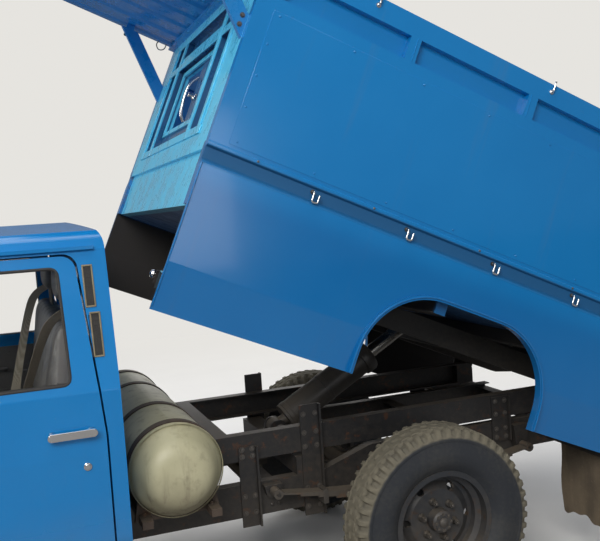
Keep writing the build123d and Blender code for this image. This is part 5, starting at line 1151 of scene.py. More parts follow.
webbing = Finish("belt_webbing")
weave = webbing.node("ShaderNodeTexWave", {"bands_direction": "DIAGONAL"},
                       {"Vector": webbing.place, "Scale": 260.0}, out="Fac")
webbing_material = webbing.surface(Base_Color=webbing.mix((0.24, 0.205, 0.155), (0.36, 0.32, 0.25), weave),
                                   Roughness=webbing.noise(30.0) * 0.2 + 0.7,
                                   Normal=webbing.bump(weave, 0.0008, 0.6))
buckles = Form()
for side_name, side in (("left", 1), ("right", -1)):
    line = [(1.352, 0.690, 1.520), (1.372, 0.672, 1.420), (1.455, 0.640, 1.385), (1.495, 0.560, 1.300),
            (1.540, 0.440, 1.150), (1.585, 0.320, 0.990), (1.600, 0.230, 0.925)]
    path = eased([Vector((x, y * side, z)) for x, y, z in line])
    points, faces = [], []
    for i, point in enumerate(path):
        ahead = (path[min(i + 1, len(path) - 1)] - path[max(i - 1, 0)]).normalized()
        across = Vector((0.12, 0.25 * side, 1.0)) if i < 4 else Vector((0.25, 0.80 * side, 0.55))
        across = (across - ahead * across.dot(ahead)).normalized() * 0.023
        normal = ahead.cross(across).normalized() * 0.0006
        for a in (-1, 1):
            for n in (-1, 1):
                points.append(point + across * a + normal * n * a + Vector((AXLE_X, 0, 0)))
    for i in range(len(path) - 1):
        a, b = i * 4, i * 4 + 4
        for p, q in ((0, 1), (1, 3), (3, 2), (2, 0)):
            faces.append((a + p, a + q, b + q, b + p))
    last = (len(path) - 1) * 4
    faces += [(0, 2, 3, 1), (last, last + 1, last + 3, last + 2)]
    belt = piece_of(f"seat_belt_{side_name}", mesh_of(points, faces), webbing_material)
    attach(belt, "chassis")
    span = sum((b - a).length for a, b in zip(path, path[1:]))
    buckles.block((1.330, 0.665 * side - 0.022, 1.500), (1.352, 0.665 * side + 0.022, 1.560))
    buckles.block((1.588, 0.210 * side - 0.018, 0.880), (1.612, 0.210 * side + 0.018, 0.945))
buckles.done("belt_anchors", "chassis", "dash_plastic", plastic_material, bevel=0.003)

# Gauges, controls and cab trim.
# Round gauges and pull knobs stand in the slope of the dash. Pedals and levers are bent
# steel with moulded knobs, the floor has a ribbed mat, and the doors have vinyl cards.
gauge_face = Finish("gauge_face")
face_grain = gauge_face.noise(30.0)
face_colour = gauge_face.mix((0.40, 0.39, 0.36), (0.22, 0.21, 0.19), face_grain)
gauge_material = gauge_face.surface(Base_Color=face_colour, Roughness=face_grain * 0.1 + 0.2, Coat_Weight=0.8)
DASH_SLOPE = Vector((-0.94, 0, 0.34))
gauges, faces_of_gauges = Form(), Form()
for y, radius in ((0.300, 0.052), (0.440, 0.052), (0.375, 0.026), (0.180, 0.030), (0.550, 0.030)):
    spot = Vector((2.082, y, 1.040 if radius > 0.04 else 1.055))
    gauges.turned([(-0.03, radius), (0.012, radius + 0.002), (0.014, radius - 0.004),
                   (0.002, radius - 0.006)], spot, DASH_SLOPE, 36)
    faces_of_gauges.turned([(-0.03, radius - 0.005), (0.003, radius - 0.005), (0.003, 0)],
                           spot, DASH_SLOPE, 36)
for i in range(5):
    gauges.turned([(-0.02, 0.008), (0.012, 0.008), (0.014, 0.012), (0.024, 0.012), (0.026, 0)],
                  (2.085, -0.02 - i * 0.050, 1.040), DASH_SLOPE, 20)
glovebox_slope = Matrix.Rotation(radians(-20), 4, "Y")
gauges.block((2.075, -0.66, 0.985), (2.090, -0.32, 1.060), glovebox_slope)
gauges.block((2.070, -0.51, 1.030), (2.078, -0.47, 1.045), glovebox_slope)
gauges.done("dash_gauges_and_knobs", "chassis", "dash_plastic", plastic_material, bevel=0.0012)
faces_of_gauges.done("gauge_faces", "chassis", "dash_plastic", gauge_material)

controls = Form()
for y, x in ((0.520, 2.190), (0.400, 2.185), (0.250, 2.195)):
    controls.pipe([(x + 0.06, y, 0.95), (x + 0.02, y, 0.86), (x - 0.02, y, 0.795)], 0.007, 8)
    controls.block((x - 0.045, y - 0.030, 0.775), (x, y + 0.030, 0.783), Matrix.Rotation(radians(40), 4, "Y"))
controls.turned([(0, 0.050), (0.010, 0.048), (0.035, 0.030), (0.045, 0.016), (0.045, 0)],
                (2.02, -0.02, SEAT_FLOOR), (0, 0, 1), 28)
controls.pipe([(2.02, -0.02, 0.72), (1.99, -0.02, 0.86), (1.93, -0.01, 0.99)], 0.0075, 10)
controls.turned([(-0.024, 0.012), (-0.016, 0.021), (0.0, 0.025), (0.016, 0.020), (0.024, 0.0)],
                (1.93, -0.01, 1.00), (-0.3, 0, 1), 24)
controls.pipe([(1.94, -0.14, SEAT_FLOOR), (1.90, -0.14, 0.79), (1.84, -0.14, 0.90)], 0.009, 10)
controls.turned([(0, 0.012), (0.01, 0.015), (0.10, 0.014), (0.11, 0)], (1.842, -0.14, 0.895),
                (-0.5, 0, 0.87), 18)
controls.pipe([(2.003, 0.375, 1.065), (1.998, 0.480, 1.078), (1.985, 0.560, 1.110)], 0.005, 8)
controls.pipe([(2.003, 0.375, 1.065), (1.998, 0.270, 1.070), (1.985, 0.200, 1.095)], 0.005, 8)
controls.turned([(-0.006, 0.010), (0.0, 0.012), (0.030, 0.010), (0.034, 0)], (1.985, 0.556, 1.107),
                (0, 0.9, 0.35), 14)
controls.turned([(-0.006, 0.010), (0.0, 0.012), (0.030, 0.010), (0.034, 0)], (1.985, 0.204, 1.093),
                (0, -0.9, 0.3), 14)
controls.done("pedals_levers_and_stalks", "chassis", "dash_plastic", plastic_material, bevel=0.0012)

wheel_bits = Form()
column_up = Vector((-cos(radians(42)), 0, sin(radians(42))))
wheel_bits.turned([(-0.002, 0.034), (0.010, 0.048), (0.020, 0.046), (0.026, 0.030), (0.028, 0)],
                  Vector((1.935, 0.375, 1.120)) + column_up * 0.004, column_up, 36)
wheel_bits.done("horn_pad", "steering_wheel", "dash_plastic", plastic_material, bevel=0.001)

roof_bits = Form()
roof_bits.pipe([(2.130, 0.0, 1.625), (2.095, 0.0, 1.590), (2.085, 0.0, 1.575)], 0.005, 8)
roof_bits.block((2.070, -0.115, 1.535), (2.086, 0.115, 1.590), Matrix.Rotation(radians(8), 4, "Y"))
for y in (-0.36, 0.36):
    roof_bits.block((1.930, y - 0.200, 1.618), (2.075, y + 0.200, 1.632), Matrix.Rotation(radians(6), 4, "Y"))
    roof_bits.pipe([(2.080, y - 0.205, 1.622), (2.080, y + 0.205, 1.622)], 0.0045, 8)
roof_bits.turned([(0, 0.038), (0.012, 0.036), (0.018, 0.024), (0.019, 0)], (1.72, 0, 1.668), (0, 0, -1), 28)
roof_bits.done("mirror_visors_and_lamp", "chassis", "seat_vinyl", vinyl_material, bevel=0.004)

mat = Form()
mat.block((1.90, -0.74, SEAT_FLOOR + 0.0005), (2.20, 0.74, SEAT_FLOOR + 0.006))
for i in range(36):
    mat.block((1.905, -0.730 + i * 0.041, SEAT_FLOOR + 0.0055),
              (2.195, -0.722 + i * 0.041, SEAT_FLOOR + 0.0085))
mat.done("floor_mat", "chassis", "dash_plastic", plastic_material, bevel=0.001)

CARD_Y = 0.797
for side_name, side in (("left", 1), ("right", -1)):
    card = Form()
    inner = CARD_Y
    card.block((1.385, inner - 0.010, 0.640), (2.180, inner - 0.002, 1.115))
    card.block((1.42, inner - 0.016, 0.700), (2.12, inner - 0.009, 0.900))
    for x in (1.42, 1.60, 1.78, 1.96, 2.12):
        card.rivet((x, inner - 0.010, 1.085), (0, -1, 0), 0.006)
    card.pipe([(1.62, inner - 0.008, 1.000), (1.62, inner - 0.042, 1.004), (1.84, inner - 0.042, 1.012),
               (1.84, inner - 0.008, 1.016)], 0.0095, 10)
    card.turned([(0, 0.024), (0.010, 0.022), (0.014, 0)], (2.02, inner - 0.010, 0.960), (0, -1, 0), 24)
    card.pipe([(2.02, inner - 0.018, 0.960), (1.965, inner - 0.030, 0.905), (1.940, inner - 0.032, 0.885)],
              0.0055, 8)
    card.turned([(0, 0.010), (0.030, 0.012), (0.034, 0)], (1.942, inner - 0.030, 0.886), (0, -1, 0), 16)
    card.pipe([(1.475, inner - 0.009, 0.980), (1.475, inner - 0.026, 0.980), (1.560, inner - 0.026, 0.985)],
              0.0055, 8)
    card.turned([(-0.03, 0.0045), (0.018, 0.0045), (0.022, 0.007), (0.030, 0.006), (0.031, 0)],
                (1.47, inner + 0.010, 1.150), (0, 0, 1), 14)
    piece = card.done(f"door_card_{side_name}", f"door_{side_name}", "seat_vinyl", vinyl_material,
                      bevel=0.003)
    far_side(piece, side)

# Hoist.
# A single hydraulic ram with a dusty dark barrel, a bright rod and a bolted gland.
# A hose feeds its foot from the pump on the frame.
ram_paint = dusty("ram_paint", (0.030, 0.029, 0.028), DUST, 0.45, 0.32, 0.3, 1.2)
rod_chrome = Finish("ram_rod_oiled")
oil = rod_chrome.noise(18.0, 5.0)
rod_colour = rod_chrome.mix((0.52, 0.52, 0.50), (0.20, 0.17, 0.13), oil * 0.7)
rod_material = rod_chrome.surface(Base_Color=rod_colour, Metallic=1.0, Roughness=oil * 0.25 + 0.12)
dress(ram_paint, "hoist_barrel")
dress(rod_material, "hoist_rod")
FOOT = Vector((0.450, 0, 0.700))
EYE_FROM_HINGE = Vector((0.650, 0, 0.100))
RAM_LINE = (HINGE + Matrix.Rotation(-BED_TILT, 3, "Y") @ EYE_FROM_HINGE - FOOT).normalized()
ram = Form()
ram.turned([(0.520, 0.0700), (0.520, 0.0785), (0.530, 0.0800), (0.566, 0.0800), (0.576, 0.0740),
            (0.576, 0.040)], FOOT, RAM_LINE, 48)
side = RAM_LINE.orthogonal().normalized()
other = RAM_LINE.cross(side)
for i in range(6):
    a = 2 * pi * i / 6
    ram.bolt(FOOT + RAM_LINE * 0.5755 + (side * cos(a) + other * sin(a)) * 0.058, RAM_LINE, 0.006)
for share in (0.085, 0.300):
    ram.turned([(share - 0.012, 0.0700), (share - 0.010, 0.0722), (share + 0.010, 0.0722),
                (share + 0.012, 0.0700)], FOOT, RAM_LINE, 48)
ram.done("ram_gland_and_bands", "hoist_barrel", "chassis_dark", ram_paint, bevel=0.001)
port = Form()
low_side = Vector((-RAM_LINE.z, 0, RAM_LINE.x))
port_at = FOOT + RAM_LINE * 0.110 + low_side * 0.068
port.turned([(0, 0.018), (0.016, 0.018), (0.016, 0.013), (0.030, 0.013), (0.030, 0)], port_at, low_side, 6)
port.done("ram_port", "hoist_barrel", "chassis_dark", bare_bolt, bevel=0.001)
pump = Form()
pump.block((0.80, 0.05, 0.520), (0.98, 0.21, 0.640))
pump.turned([(0, 0.050), (0.10, 0.050), (0.11, 0.04), (0.11, 0)], (0.98, 0.13, 0.580), (1, 0, 0), 28)
pump.pipe([(0.80, 0.13, 0.600), (0.74, 0.13, 0.600), (0.60, 0.10, 0.600), (0.56, 0.04, 0.620),
           (0.53, 0.02, 0.640)], 0.0095, 10)
pump.turned([(0, 0.016), (0.030, 0.016), (0.034, 0)], (0.90, 0.13, 0.640), (0, 0, 1), 16)
pump.done("hoist_pump", "chassis", "engine_iron", iron, bevel=0.003)
pin_heads = Form()
pin_heads.turned([(0, 0.024), (0.010, 0.024), (0.012, 0.020), (0.012, 0)], (FOOT.x, 0.0755, FOOT.z),
                 (0, 1, 0), 24)
pin_heads.done("ram_foot_pin_heads", "chassis", "chassis_dark", bare_bolt, both=True)

# Bed and load floor.
# The tipping body wears thick bright enamel outside and worn paint inside. Below the
# floor line it is painted dark: undercoat, oil and road dust, plus painted shade on the
# underside and inner faces. Painted shade also darkens the band under the ledge.


def bed_enamel(name, deep, light, worn_share=0.75, recess_shade_share=0.0):
    """Enamel that turns dark below the floor, as grime and painted shade, with painted shade under the ledge
    and in the recess.
    """
    f = Finish(name)
    spin = Matrix.Rotation(BED_TILT, 3, "Y")
    shift = BED_PIVOT - spin @ BED_PIVOT
    flat = f.node("ShaderNodeMapping", {}, {"Vector": f.place, "Rotation": (0, BED_TILT, 0),
                                            "Location": tuple(shift)})
    height = f.node("ShaderNodeSeparateXYZ", {}, {0: flat}, out="Z")
    across = f.node("ShaderNodeSeparateXYZ", {}, {0: flat}, out="Y")
    along = f.node("ShaderNodeSeparateXYZ", {}, {0: flat}, out="X") - AXLE_X
    facing = f.node("ShaderNodeTexCoord", out="Normal")
    facing_y = f.node("ShaderNodeSeparateXYZ", {}, {0: facing}, out="Y")
    aside = across.math("ABSOLUTE", across)
    # Below the floor, on inner faces and between the sides, the enamel turns dark: partly grime, partly
    # painted shade.
    below = f.step(height, 0.958, 0.952)
    grime_and_shade_below = (f.step(across * facing_y, 0.02, -0.10) * below + f.step(aside, 0.80, 0.76) * below).clear()
    # Painted shade: the band under the ledge on the outer sides is darkened for the shadow the ledge throws.
    band = f.step(height, 1.100, 1.125) * f.step(height, 1.182, 1.172)
    shade = band * f.step(aside, 0.80, 0.82)
    clouds = f.noise(4.0, 5.0)
    broad = f.noise(0.8, 3.0)
    peel = f.noise(170.0, 2.0)
    waves = f.noise(1.7, 2.0)
    scuff = f.step(f.noise(22.0, 9.0, 0.75), 0.64, 0.70) * f.step(f.noise(2.6, 3.0), 0.52, 0.66)
    inside = f.step(aside, 0.812, 0.795) * f.step(height, 0.945, 0.965)
    worn = inside * f.step(f.noise(9.0, 8.0, 0.7), 0.40, 0.62)
    downward = f.node("ShaderNodeMapping", {}, {"Vector": flat, "Scale": (16, 16, 1.3)})
    run = f.step(f.noise(1.0, 4.0, 0.6, downward), 0.58, 0.82) * 0.10
    paint = f.mix(deep, light, broad * 0.7 + clouds * 0.3)
    paint = f.mix(paint, (0.16, 0.16, 0.16), (run + clouds * 0.03 - 0.01).clear())
    paint = f.mix(paint, (0.085, 0.070, 0.055),
                  (worn * worn_share + scuff * (0.06 + worn_share * 0.40)).clear())
    # Painted shade under the ledge, in dark navy.
    paint = f.mix(paint, (0.012, 0.050, 0.115), shade * 0.62)
    paint = f.mix(paint, (0.003, 0.075, 0.270), f.step(height, 1.120, 1.000) * (0.35 - recess_shade_share * 0.35))
    # Painted shade: inside the front wall's recesses the walls and floors are painted navy for the shade that
    # lies in them.
    sunk_shade = f.step(along, 1.2386, 1.2376) * f.step(along, 1.198, 1.206) * f.step(height, 1.245, 1.260)
    paint = f.mix(paint, (0.006, 0.052, 0.180), sunk_shade * recess_shade_share)
    # This dark colour below the floor stands for grime and painted shade together.
    grime = f.mix((0.008, 0.008, 0.010), (0.040, 0.034, 0.028), clouds * 0.8)
    rough = (clouds * 0.12 + worn * 0.4 + grime_and_shade_below * 0.55 + shade * 0.30 + 0.13).clear()
    coat = (0.45 - (grime_and_shade_below + shade) * 0.45).clear()
    return f.surface(Base_Color=f.mix(paint, grime, grime_and_shade_below),
                     Roughness=rough, Coat_Weight=coat, Coat_Roughness=0.08,
                     Normal=f.bump(peel - scuff * worn_share, 0.0005, 0.10 + worn_share * 0.27,
                                   f.bump(waves + clouds * 0.2, 0.012, 0.22)))


# The front wall and its window frame are painted paler and brighter than the bed, as painted light for the
# light they catch; the wall's recesses get painted shade.
LIT_WALL_DEEP = (0.08, 0.55, 0.85)
LIT_WALL_PALE = (0.13, 0.66, 0.93)
bed_paint = bed_enamel("bed_enamel", BLUE_DEEP, BLUE_LIGHT)
wall_painted_light_and_shade = bed_enamel("wall_enamel_painted_light_and_shade", LIT_WALL_DEEP, LIT_WALL_PALE, worn_share=0.0, recess_shade_share=0.92)
trim_paint = bed_enamel("visor_enamel", BLUE_DEEP, BLUE_LIGHT, worn_share=0.0)
dress(bed_paint, "bed_side_left", "bed_side_right", "box_side_left", "box_side_right", "bed_floor")
dress(trim_paint, "tail_frame", "visor", "tailgate", "upper_gate")
dress(wall_painted_light_and_shade, "bed_front_wall")
under_paint = dusty("under_bed_grime", (0.012, 0.012, 0.012), DUST, 0.20, 0.62, 0.5, 1.3)
dress(under_paint, "bed_frame")
dress(chrome_material, "rope_hooks")

BED_FRONT = 1.240
rail_bits = Form()
for x in (0.069, 1.046, 0.560, -0.410, -0.900):
    rail_bits.rivet((x, 0.8500, 1.184), (0, 1, 0), 0.005)
for i in range(5):
    x = BED_FRONT - 0.442 - i * 0.412
    rail_bits.turned([(0, 0.0085), (0.003, 0.0085), (0.003, 0)], (x + 0.012, 0.8350, 1.157), (0, 1, 0), 18)
    rail_bits.turned([(0.003, 0.0062), (0.0075, 0.0062), (0.0075, 0)], (x + 0.012, 0.8350, 1.157),
                     (0, 1, 0), 6)
rail_bits.done("bed_rail_bolts", "bed", "bright_chrome", nut_steel, on_bed=True, both=True)

side_seams = Form()
for x in (1.2375, -1.1575):
    side_seams.pipe([(x, 0.8352, 0.580), (x, 0.8505, 0.743), (x, 0.8485, 1.110)], 0.0035, 6)
side_seams.done("bed_side_hems", "bed", "body_blue", bed_paint, on_bed=True, both=True)

floor_wear = Finish("load_floor_worn")
deck_scratch = floor_wear.noise(1.0, 6.0, 0.65, floor_wear.stretched(4.0, 60.0, 4.0))
deck_patch = floor_wear.step(floor_wear.noise(5.0, 8.0, 0.7), 0.42, 0.60)
deck_soil = floor_wear.step(floor_wear.noise(11.0, 6.0, 0.7), 0.5, 0.7)
deck_blue = floor_wear.mix(BLUE_DEEP, (0.16, 0.11, 0.075), deck_patch)
deck_colour = floor_wear.mix(deck_blue, (0.28, 0.27, 0.25), deck_scratch * 0.5)
worn_floor = floor_wear.surface(Base_Color=floor_wear.mix(deck_colour, DUST, deck_soil * 0.7),
                                Metallic=deck_patch * 0.3, Roughness=deck_soil * 0.3 + 0.5,
                                Normal=floor_wear.bump(deck_scratch + deck_patch, 0.002, 0.4))
DECK_REAR = -1.090
SHEET_STEP = 0.452
deck = Form()
for i in range(5):
    x0 = DECK_REAR + i * SHEET_STEP
    deck.block((x0, -0.780, 0.9668), (x0 + 0.448, 0.780, 0.9695))
for i in range(4):
    x0 = DECK_REAR + (i + 1) * SHEET_STEP - 0.002
    for j in range(9):
        deck.rivet((x0 - 0.020, -0.72 + j * 0.18, 0.9690), (0, 0, 1), 0.007)
deck.done("load_floor_sheets", "bed", "body_blue", worn_floor, bevel=0.0008, on_bed=True)

ribs = Form()
for x in (-1.060, -0.700, -0.380, 0.120, 0.370, 0.640):
    ribs.block((x - 0.034, -0.780, 0.894), (x - 0.025, 0.780, 0.899))
    ribs.block((x + 0.025, -0.780, 0.894), (x + 0.034, 0.780, 0.899))
    for y in (-0.60, -0.40, 0.40, 0.60):
        ribs.bolt((x, y, 0.895), (0, 0, -1), 0.008)
ribs.done("floor_rib_flanges", "bed", "body_blue", under_paint, on_bed=True, bevel=0.001)

ARCH_REAR = BED_FRONT - 1.654
ARCH_FRONT = BED_FRONT - 0.802
ARCH_TOP = 0.939
ARCH_CORNER = 0.290
ARCH_LIP = 0.012
ARCH_Y = 0.8562
SILL_Z = 0.572
arch_edge = Form()
arc = [(ARCH_FRONT + ARCH_LIP, ARCH_Y, SILL_Z)]
reach = ARCH_CORNER + ARCH_LIP
for middle, start in ((ARCH_FRONT - ARCH_CORNER, 0), (ARCH_REAR + ARCH_CORNER, 90)):
    for i in range(9):
        a = radians(start + 90 * i / 8)
        arc.append((middle + reach * cos(a), ARCH_Y, ARCH_TOP - ARCH_CORNER + reach * sin(a)))
arc.append((ARCH_REAR - ARCH_LIP, ARCH_Y, SILL_Z))
arch_edge.pipe(arc, 0.0045, 8)
arch_edge.done("arch_rolled_edge", "bed", "body_blue", bed_paint, on_bed=True, both=True)

# Bed front wall and the gear under its ledge.
# A welded sheet wall with flat bars, a framed window with a bright latch on its plate,
# and below the ledge a small bracket with a round knob.
wall_bits = Form()
for y in (-0.600, -0.400, 0.400, 0.600):
    wall_bits.block((1.2395, y - 0.018, 1.240), (1.2465, y + 0.018, 1.870))
for z in (1.258, 1.700, 1.850):
    wall_bits.block((1.2395, -0.640, z - 0.018), (1.2455, 0.640, z + 0.018))
wall_bits.done("front_wall_bars", "bed", "body_blue", wall_painted_light_and_shade, bevel=0.002, on_bed=True)
# The window frame carries the wall's painted light.
frame_painted_light = bed_enamel("window_frame_enamel_painted_light", LIT_WALL_DEEP, LIT_WALL_PALE, worn_share=0.0)
window_frame = Form()
for z in (1.352, 1.668):
    window_frame.block((1.2090, -0.352, z - 0.011), (1.2200, 0.352, z + 0.011))
for y in (-0.341, 0.341):
    window_frame.block((1.2090, y - 0.011, 1.341), (1.2200, y + 0.011, 1.679))
window_frame.done("front_window_frame", "bed", "body_blue", frame_painted_light, bevel=0.002, on_bed=True)

latch = Form()
latch.pipe([(1.215, 0.060, 1.372), (1.238, 0.060, 1.400), (1.247, 0.062, 1.470), (1.246, 0.060, 1.540),
            (1.215, 0.058, 1.585)], 0.0075, 12)
latch.turned([(0, 0.018), (0.006, 0.018), (0.014, 0.010), (0.030, 0.008), (0.030, 0)], (1.212, 0.120, 1.480),
             (1, 0, 0), 24)
latch.done("window_latch", "bed", "bright_chrome", chrome_material, bevel=0.001, on_bed=True)
carrier = Form()
carrier.block((1.198, 0.040, 1.345), (1.208, 0.140, 1.670))
carrier.done("window_latch_plate", "bed", "body_blue", wall_painted_light_and_shade, bevel=0.002, on_bed=True)

bracket = Form()
bracket.block((1.205, 0.700, 0.700), (1.236, 0.818, 0.706))
bracket.block((1.205, 0.700, 0.655), (1.236, 0.706, 0.702))
bracket.block((1.205, 0.755, 0.640), (1.236, 0.765, 0.702))
for y in (0.735, 0.790):
    bracket.bolt((1.220, y, 0.706), (0, 0, 1), 0.007)
bracket.done("bed_front_bracket", "bed", "body_blue", wall_painted_light_and_shade, bevel=0.002, on_bed=True)
knob = Form()
knob.turned([(0, 0.005), (0.004, 0.013), (0.012, 0.017), (0.020, 0.013), (0.025, 0.0)], (1.230, 0.684, 0.688),
            (1, 0, 0), 28)
knob.pipe([(1.232, 0.684, 0.688), (1.232, 0.702, 0.690)], 0.004, 10, straight=True)
knob.done("bed_front_knob", "bed", "bright_chrome", chrome_material, on_bed=True)

# Box sides, gates and visor.
# Welded tube frames skinned in flush sheet with a visible edge and screws, bright rope
# hooks on the top rail, gate hinges, drop latches and reflectors.
sheets = Form()
sheets.block((-1.073, 0.8445, 1.205), (1.168, 0.8468, 1.716))
sheets.done("box_side_sheets", "bed", "body_blue", bed_paint, bevel=0.0009, on_bed=True, both=True)
screws = Form()
for i in range(8):
    screws.rivet((1.140 - i * 0.310, 0.8466, 1.222), (0, 1, 0), 0.0045)
    screws.rivet((1.140 - i * 0.310, 0.8466, 1.702), (0, 1, 0), 0.0045)
for z in (1.35, 1.47, 1.59):
    for x in (-1.058, 1.152):
        screws.rivet((x, 0.8466, z), (0, 1, 0), 0.0045)
screws.done("box_sheet_screws", "bed", "body_blue", bed_paint, on_bed=True, both=True)

top_hooks = Form()
for x in (BED_FRONT - 0.442, BED_FRONT - 1.272, BED_FRONT - 2.05):
    top_hooks.pipe([(x, 0.842, 1.905), (x, 0.858, 1.905), (x, 0.858, 1.940), (x + 0.004, 0.862, 1.948)],
                   0.0042, 10)
    top_hooks.turned([(0, 0.010), (0.003, 0.010), (0.003, 0)], (x, 0.8448, 1.905), (0, 1, 0), 18)
top_hooks.done("top_rail_hooks", "bed", "bright_chrome", chrome_material, on_bed=True, both=True)

welds = Form()
for i in range(5):
    x = BED_FRONT - 0.088 - i * 0.551
    welds.pipe([(x, 0.8452, 1.764), (x, 0.8452, 1.856)], 0.0022, 6, straight=True)
welds.done("box_weld_beads", "bed", "body_blue", bed_paint, on_bed=True, both=True)

visor_bits = Form()
for x, z in ((1.2615, 1.630), (1.512, 1.863)):
    for dz in (0.0, 0.035):
        visor_bits.bolt((x, 0.801, z + dz), (0, 1, 0), 0.007)
visor_bits.pipe([(1.300, 0.760, 1.8905), (1.300, 0.760, 1.8600), (1.330, 0.755, 1.842), (1.352, 0.750, 1.866),
                 (1.342, 0.750, 1.8900)], 0.0028, 8)
visor_bits.done("visor_bolts_and_loop", "bed", "bright_chrome", nut_steel, on_bed=True, both=True)
hem = Form()
hem.block((2.156, -0.850, 1.888), (2.1925, 0.850, 1.8935))
hem.done("visor_hem", "bed", "body_blue", bed_paint, bevel=0.002, on_bed=True)

lower_bits = Form()
for y in (-0.62, 0.0, 0.62):
    lower_bits.block((-1.1685, y - 0.035, 0.960), (-1.158, y + 0.035, 1.030))
    lower_bits.pipe([(-1.166, y - 0.036, 0.972), (-1.166, y + 0.036, 0.972)], 0.009, 12)
    for dy in (-0.018, 0.018):
        lower_bits.bolt((-1.1680, y + dy, 1.012), (-1, 0, 0), 0.006)
for y in (-0.70, 0.70):
    lower_bits.block((-1.174, y - 0.022, 1.120), (-1.158, y + 0.022, 1.182))
    lower_bits.pipe([(-1.170, y, 1.150), (-1.184, y, 1.135), (-1.184, y, 1.075)], 0.0065, 10)
lower_bits.done("tailgate_hinges_and_latches", "tailgate", "body_blue", bare_bolt, bevel=0.0015, on_bed=True)
reflectors = Form()
for y in (-0.74, 0.74):
    reflectors.turned([(0, 0.030), (0.006, 0.030), (0.009, 0.026), (0.009, 0)], (-1.159, y, 1.060),
                      (-1, 0, 0), 28)
reflectors.done("tail_reflectors", "tailgate", "lamp_red", red_lens, on_bed=True)

upper_bits = Form()
for y in (-0.55, 0.0, 0.55):
    upper_bits.block((-1.1685, y - 0.035, 1.780), (-1.158, y + 0.035, 1.842))
    for dy in (-0.018, 0.018):
        upper_bits.bolt((-1.1680, y + dy, 1.800), (-1, 0, 0), 0.006)
upper_bits.pipe([(-1.158, -0.10, 1.235), (-1.190, -0.10, 1.240), (-1.190, 0.10, 1.240),
                 (-1.158, 0.10, 1.235)], 0.0075, 10)
for y in (-0.60, 0.60):
    upper_bits.pipe([(-1.167, y, 1.215), (-1.167, y, 1.300)], 0.007, 10, straight=True)
    for z in (1.225, 1.285):
        upper_bits.block((-1.176, y - 0.016, z - 0.008), (-1.158, y + 0.016, z + 0.008))
upper_bits.done("upper_gate_hardware", "upper_gate", "body_blue", bare_bolt, bevel=0.0012, on_bed=True)

# Mud flaps and rear lamps.
# Heavy rubber flaps, curled and caked in dry mud, bolted to their bars. The lamps are
# steel boxes with red, amber and clear lenses screwed on.
mud = Finish("flap_mud_caked")
mud_broad = mud.noise(7.0, 6.0, 0.6)
mud_fine = mud.noise(60.0, 6.0, 0.7)
mud_run = mud.noise(1.0, 5.0, 0.6, mud.stretched(14.0, 14.0, 2.5))
mud_thick = (mud_broad * 0.9 + mud_run * 0.7 - 0.30).clear()
mud_colour = mud.mix((0.060, 0.050, 0.042), (0.30, 0.235, 0.155), mud_thick)
mud_colour = mud.mix(mud_colour, (0.36, 0.29, 0.20), mud.step(mud_fine, 0.55, 0.75) * 0.5)
mud_material = mud.surface(Base_Color=mud_colour, Roughness=mud_fine * 0.15 + 0.8,
                           Normal=mud.bump(mud_fine * 0.6 + mud_broad, 0.004, 0.7))
FLAP_FACE = -0.800
FLAP_IN = 0.480
FLAP_OUT = 0.812
FLAP_TOP = 0.575
FLAP_LOW = 0.205
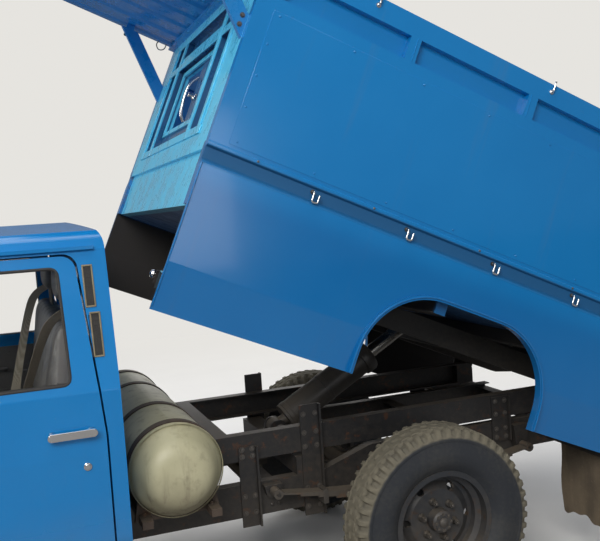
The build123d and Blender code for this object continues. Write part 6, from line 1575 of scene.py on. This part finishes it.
for side_name, side in (("left", 1), ("right", -1)):
    points, faces = [], []
    wide, tall = 24, 30
    for layer in (0, 1):
        for j in range(tall + 1):
            v = j / tall
            for i in range(wide + 1):
                u = i / wide
                edge = 0.010 * sin(9.0 * u + side) + 0.006 * sin(23.0 * u)
                z = FLAP_TOP - (FLAP_TOP - FLAP_LOW - 0.012 + edge * v) * v
                y = FLAP_IN + (FLAP_OUT - FLAP_IN) * u + 0.006 * sin(7 * v) * (1 if u in (0, 1) else 0.5)
                bow = 0.0035 * sin(4.2 * v + 2.5 * u) + 0.0025 * sin(11.0 * u)
                x = FLAP_FACE - 0.0025 - layer * 0.007 + bow * v
                points.append((x + AXLE_X, y * side, z))
    row = wide + 1
    block = row * (tall + 1)
    for j in range(tall):
        for i in range(wide):
            a = j * row + i
            faces.append((a, a + 1, a + row + 1, a + row))
            faces.append((block + a, block + a + row, block + a + row + 1, block + a + 1))
    rim_line = list(range(row)) + [j * row + wide for j in range(1, tall + 1)]
    rim_line += [tall * row + i for i in range(wide - 1, -1, -1)] + [j * row for j in range(tall - 1, 0, -1)]
    for a, b in zip(rim_line, rim_line[1:] + rim_line[:1]):
        faces.append((a, b, b + block, a + block))
    flap = piece_of(f"mud_flap_sheet_{side_name}", mesh_of(points, faces), mud_material, 50)
    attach(flap, "chassis")
    if side > 0:
        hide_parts("mud_flaps")

bars = Form()
bars.block((FLAP_FACE, 0.400, FLAP_TOP - 0.030), (FLAP_FACE + 0.025, FLAP_OUT, FLAP_TOP))
bars.block((FLAP_FACE - 0.016, FLAP_IN + 0.01, FLAP_TOP - 0.032),
           (FLAP_FACE - 0.010, FLAP_OUT - 0.01, FLAP_TOP - 0.004))
for i in range(4):
    y = FLAP_IN + 0.03 + i * (FLAP_OUT - FLAP_IN - 0.06) / 3
    bars.bolt((FLAP_FACE - 0.016, y, FLAP_TOP - 0.018), (-1, 0, 0), 0.008)
bars.done("flap_bars", "chassis", "flap_rubber", chassis_paint, bevel=0.0015, both=True)

dress(chassis_paint, "rear_lamps")
RAIL_END = -0.960
LAMP_BACK = RAIL_END - 0.050
LAMP_FOOT = 0.529
for name, z0, z1, material in (("tail_lens_red", 0.0, 0.028, red_lens),
                               ("tail_lens_amber", 0.031, 0.055, amber),
                               ("tail_lens_clear", 0.058, 0.076, clear_lens)):
    strip = Form()
    strip.block((LAMP_BACK - 0.007, 0.478, LAMP_FOOT + z0), (LAMP_BACK + 0.001, 0.662, LAMP_FOOT + z1))
    strip.done(name, "chassis", "lamp_red", material, bevel=0.003, both=True)
lamp_bits = Form()
for y in (0.485, 0.655):
    lamp_bits.rivet((LAMP_BACK - 0.006, y, LAMP_FOOT + 0.043), (-1, 0, 0), 0.004)
lamp_bits.pipe([(RAIL_END - 0.010, 0.46, LAMP_FOOT + 0.040), (RAIL_END + 0.040, 0.42, LAMP_FOOT + 0.06),
                (RAIL_END + 0.10, 0.395, LAMP_FOOT + 0.08)], 0.004, 8)
lamp_bits.done("lamp_screws_and_wires", "chassis", "lamp_red", bare_bolt, both=True)
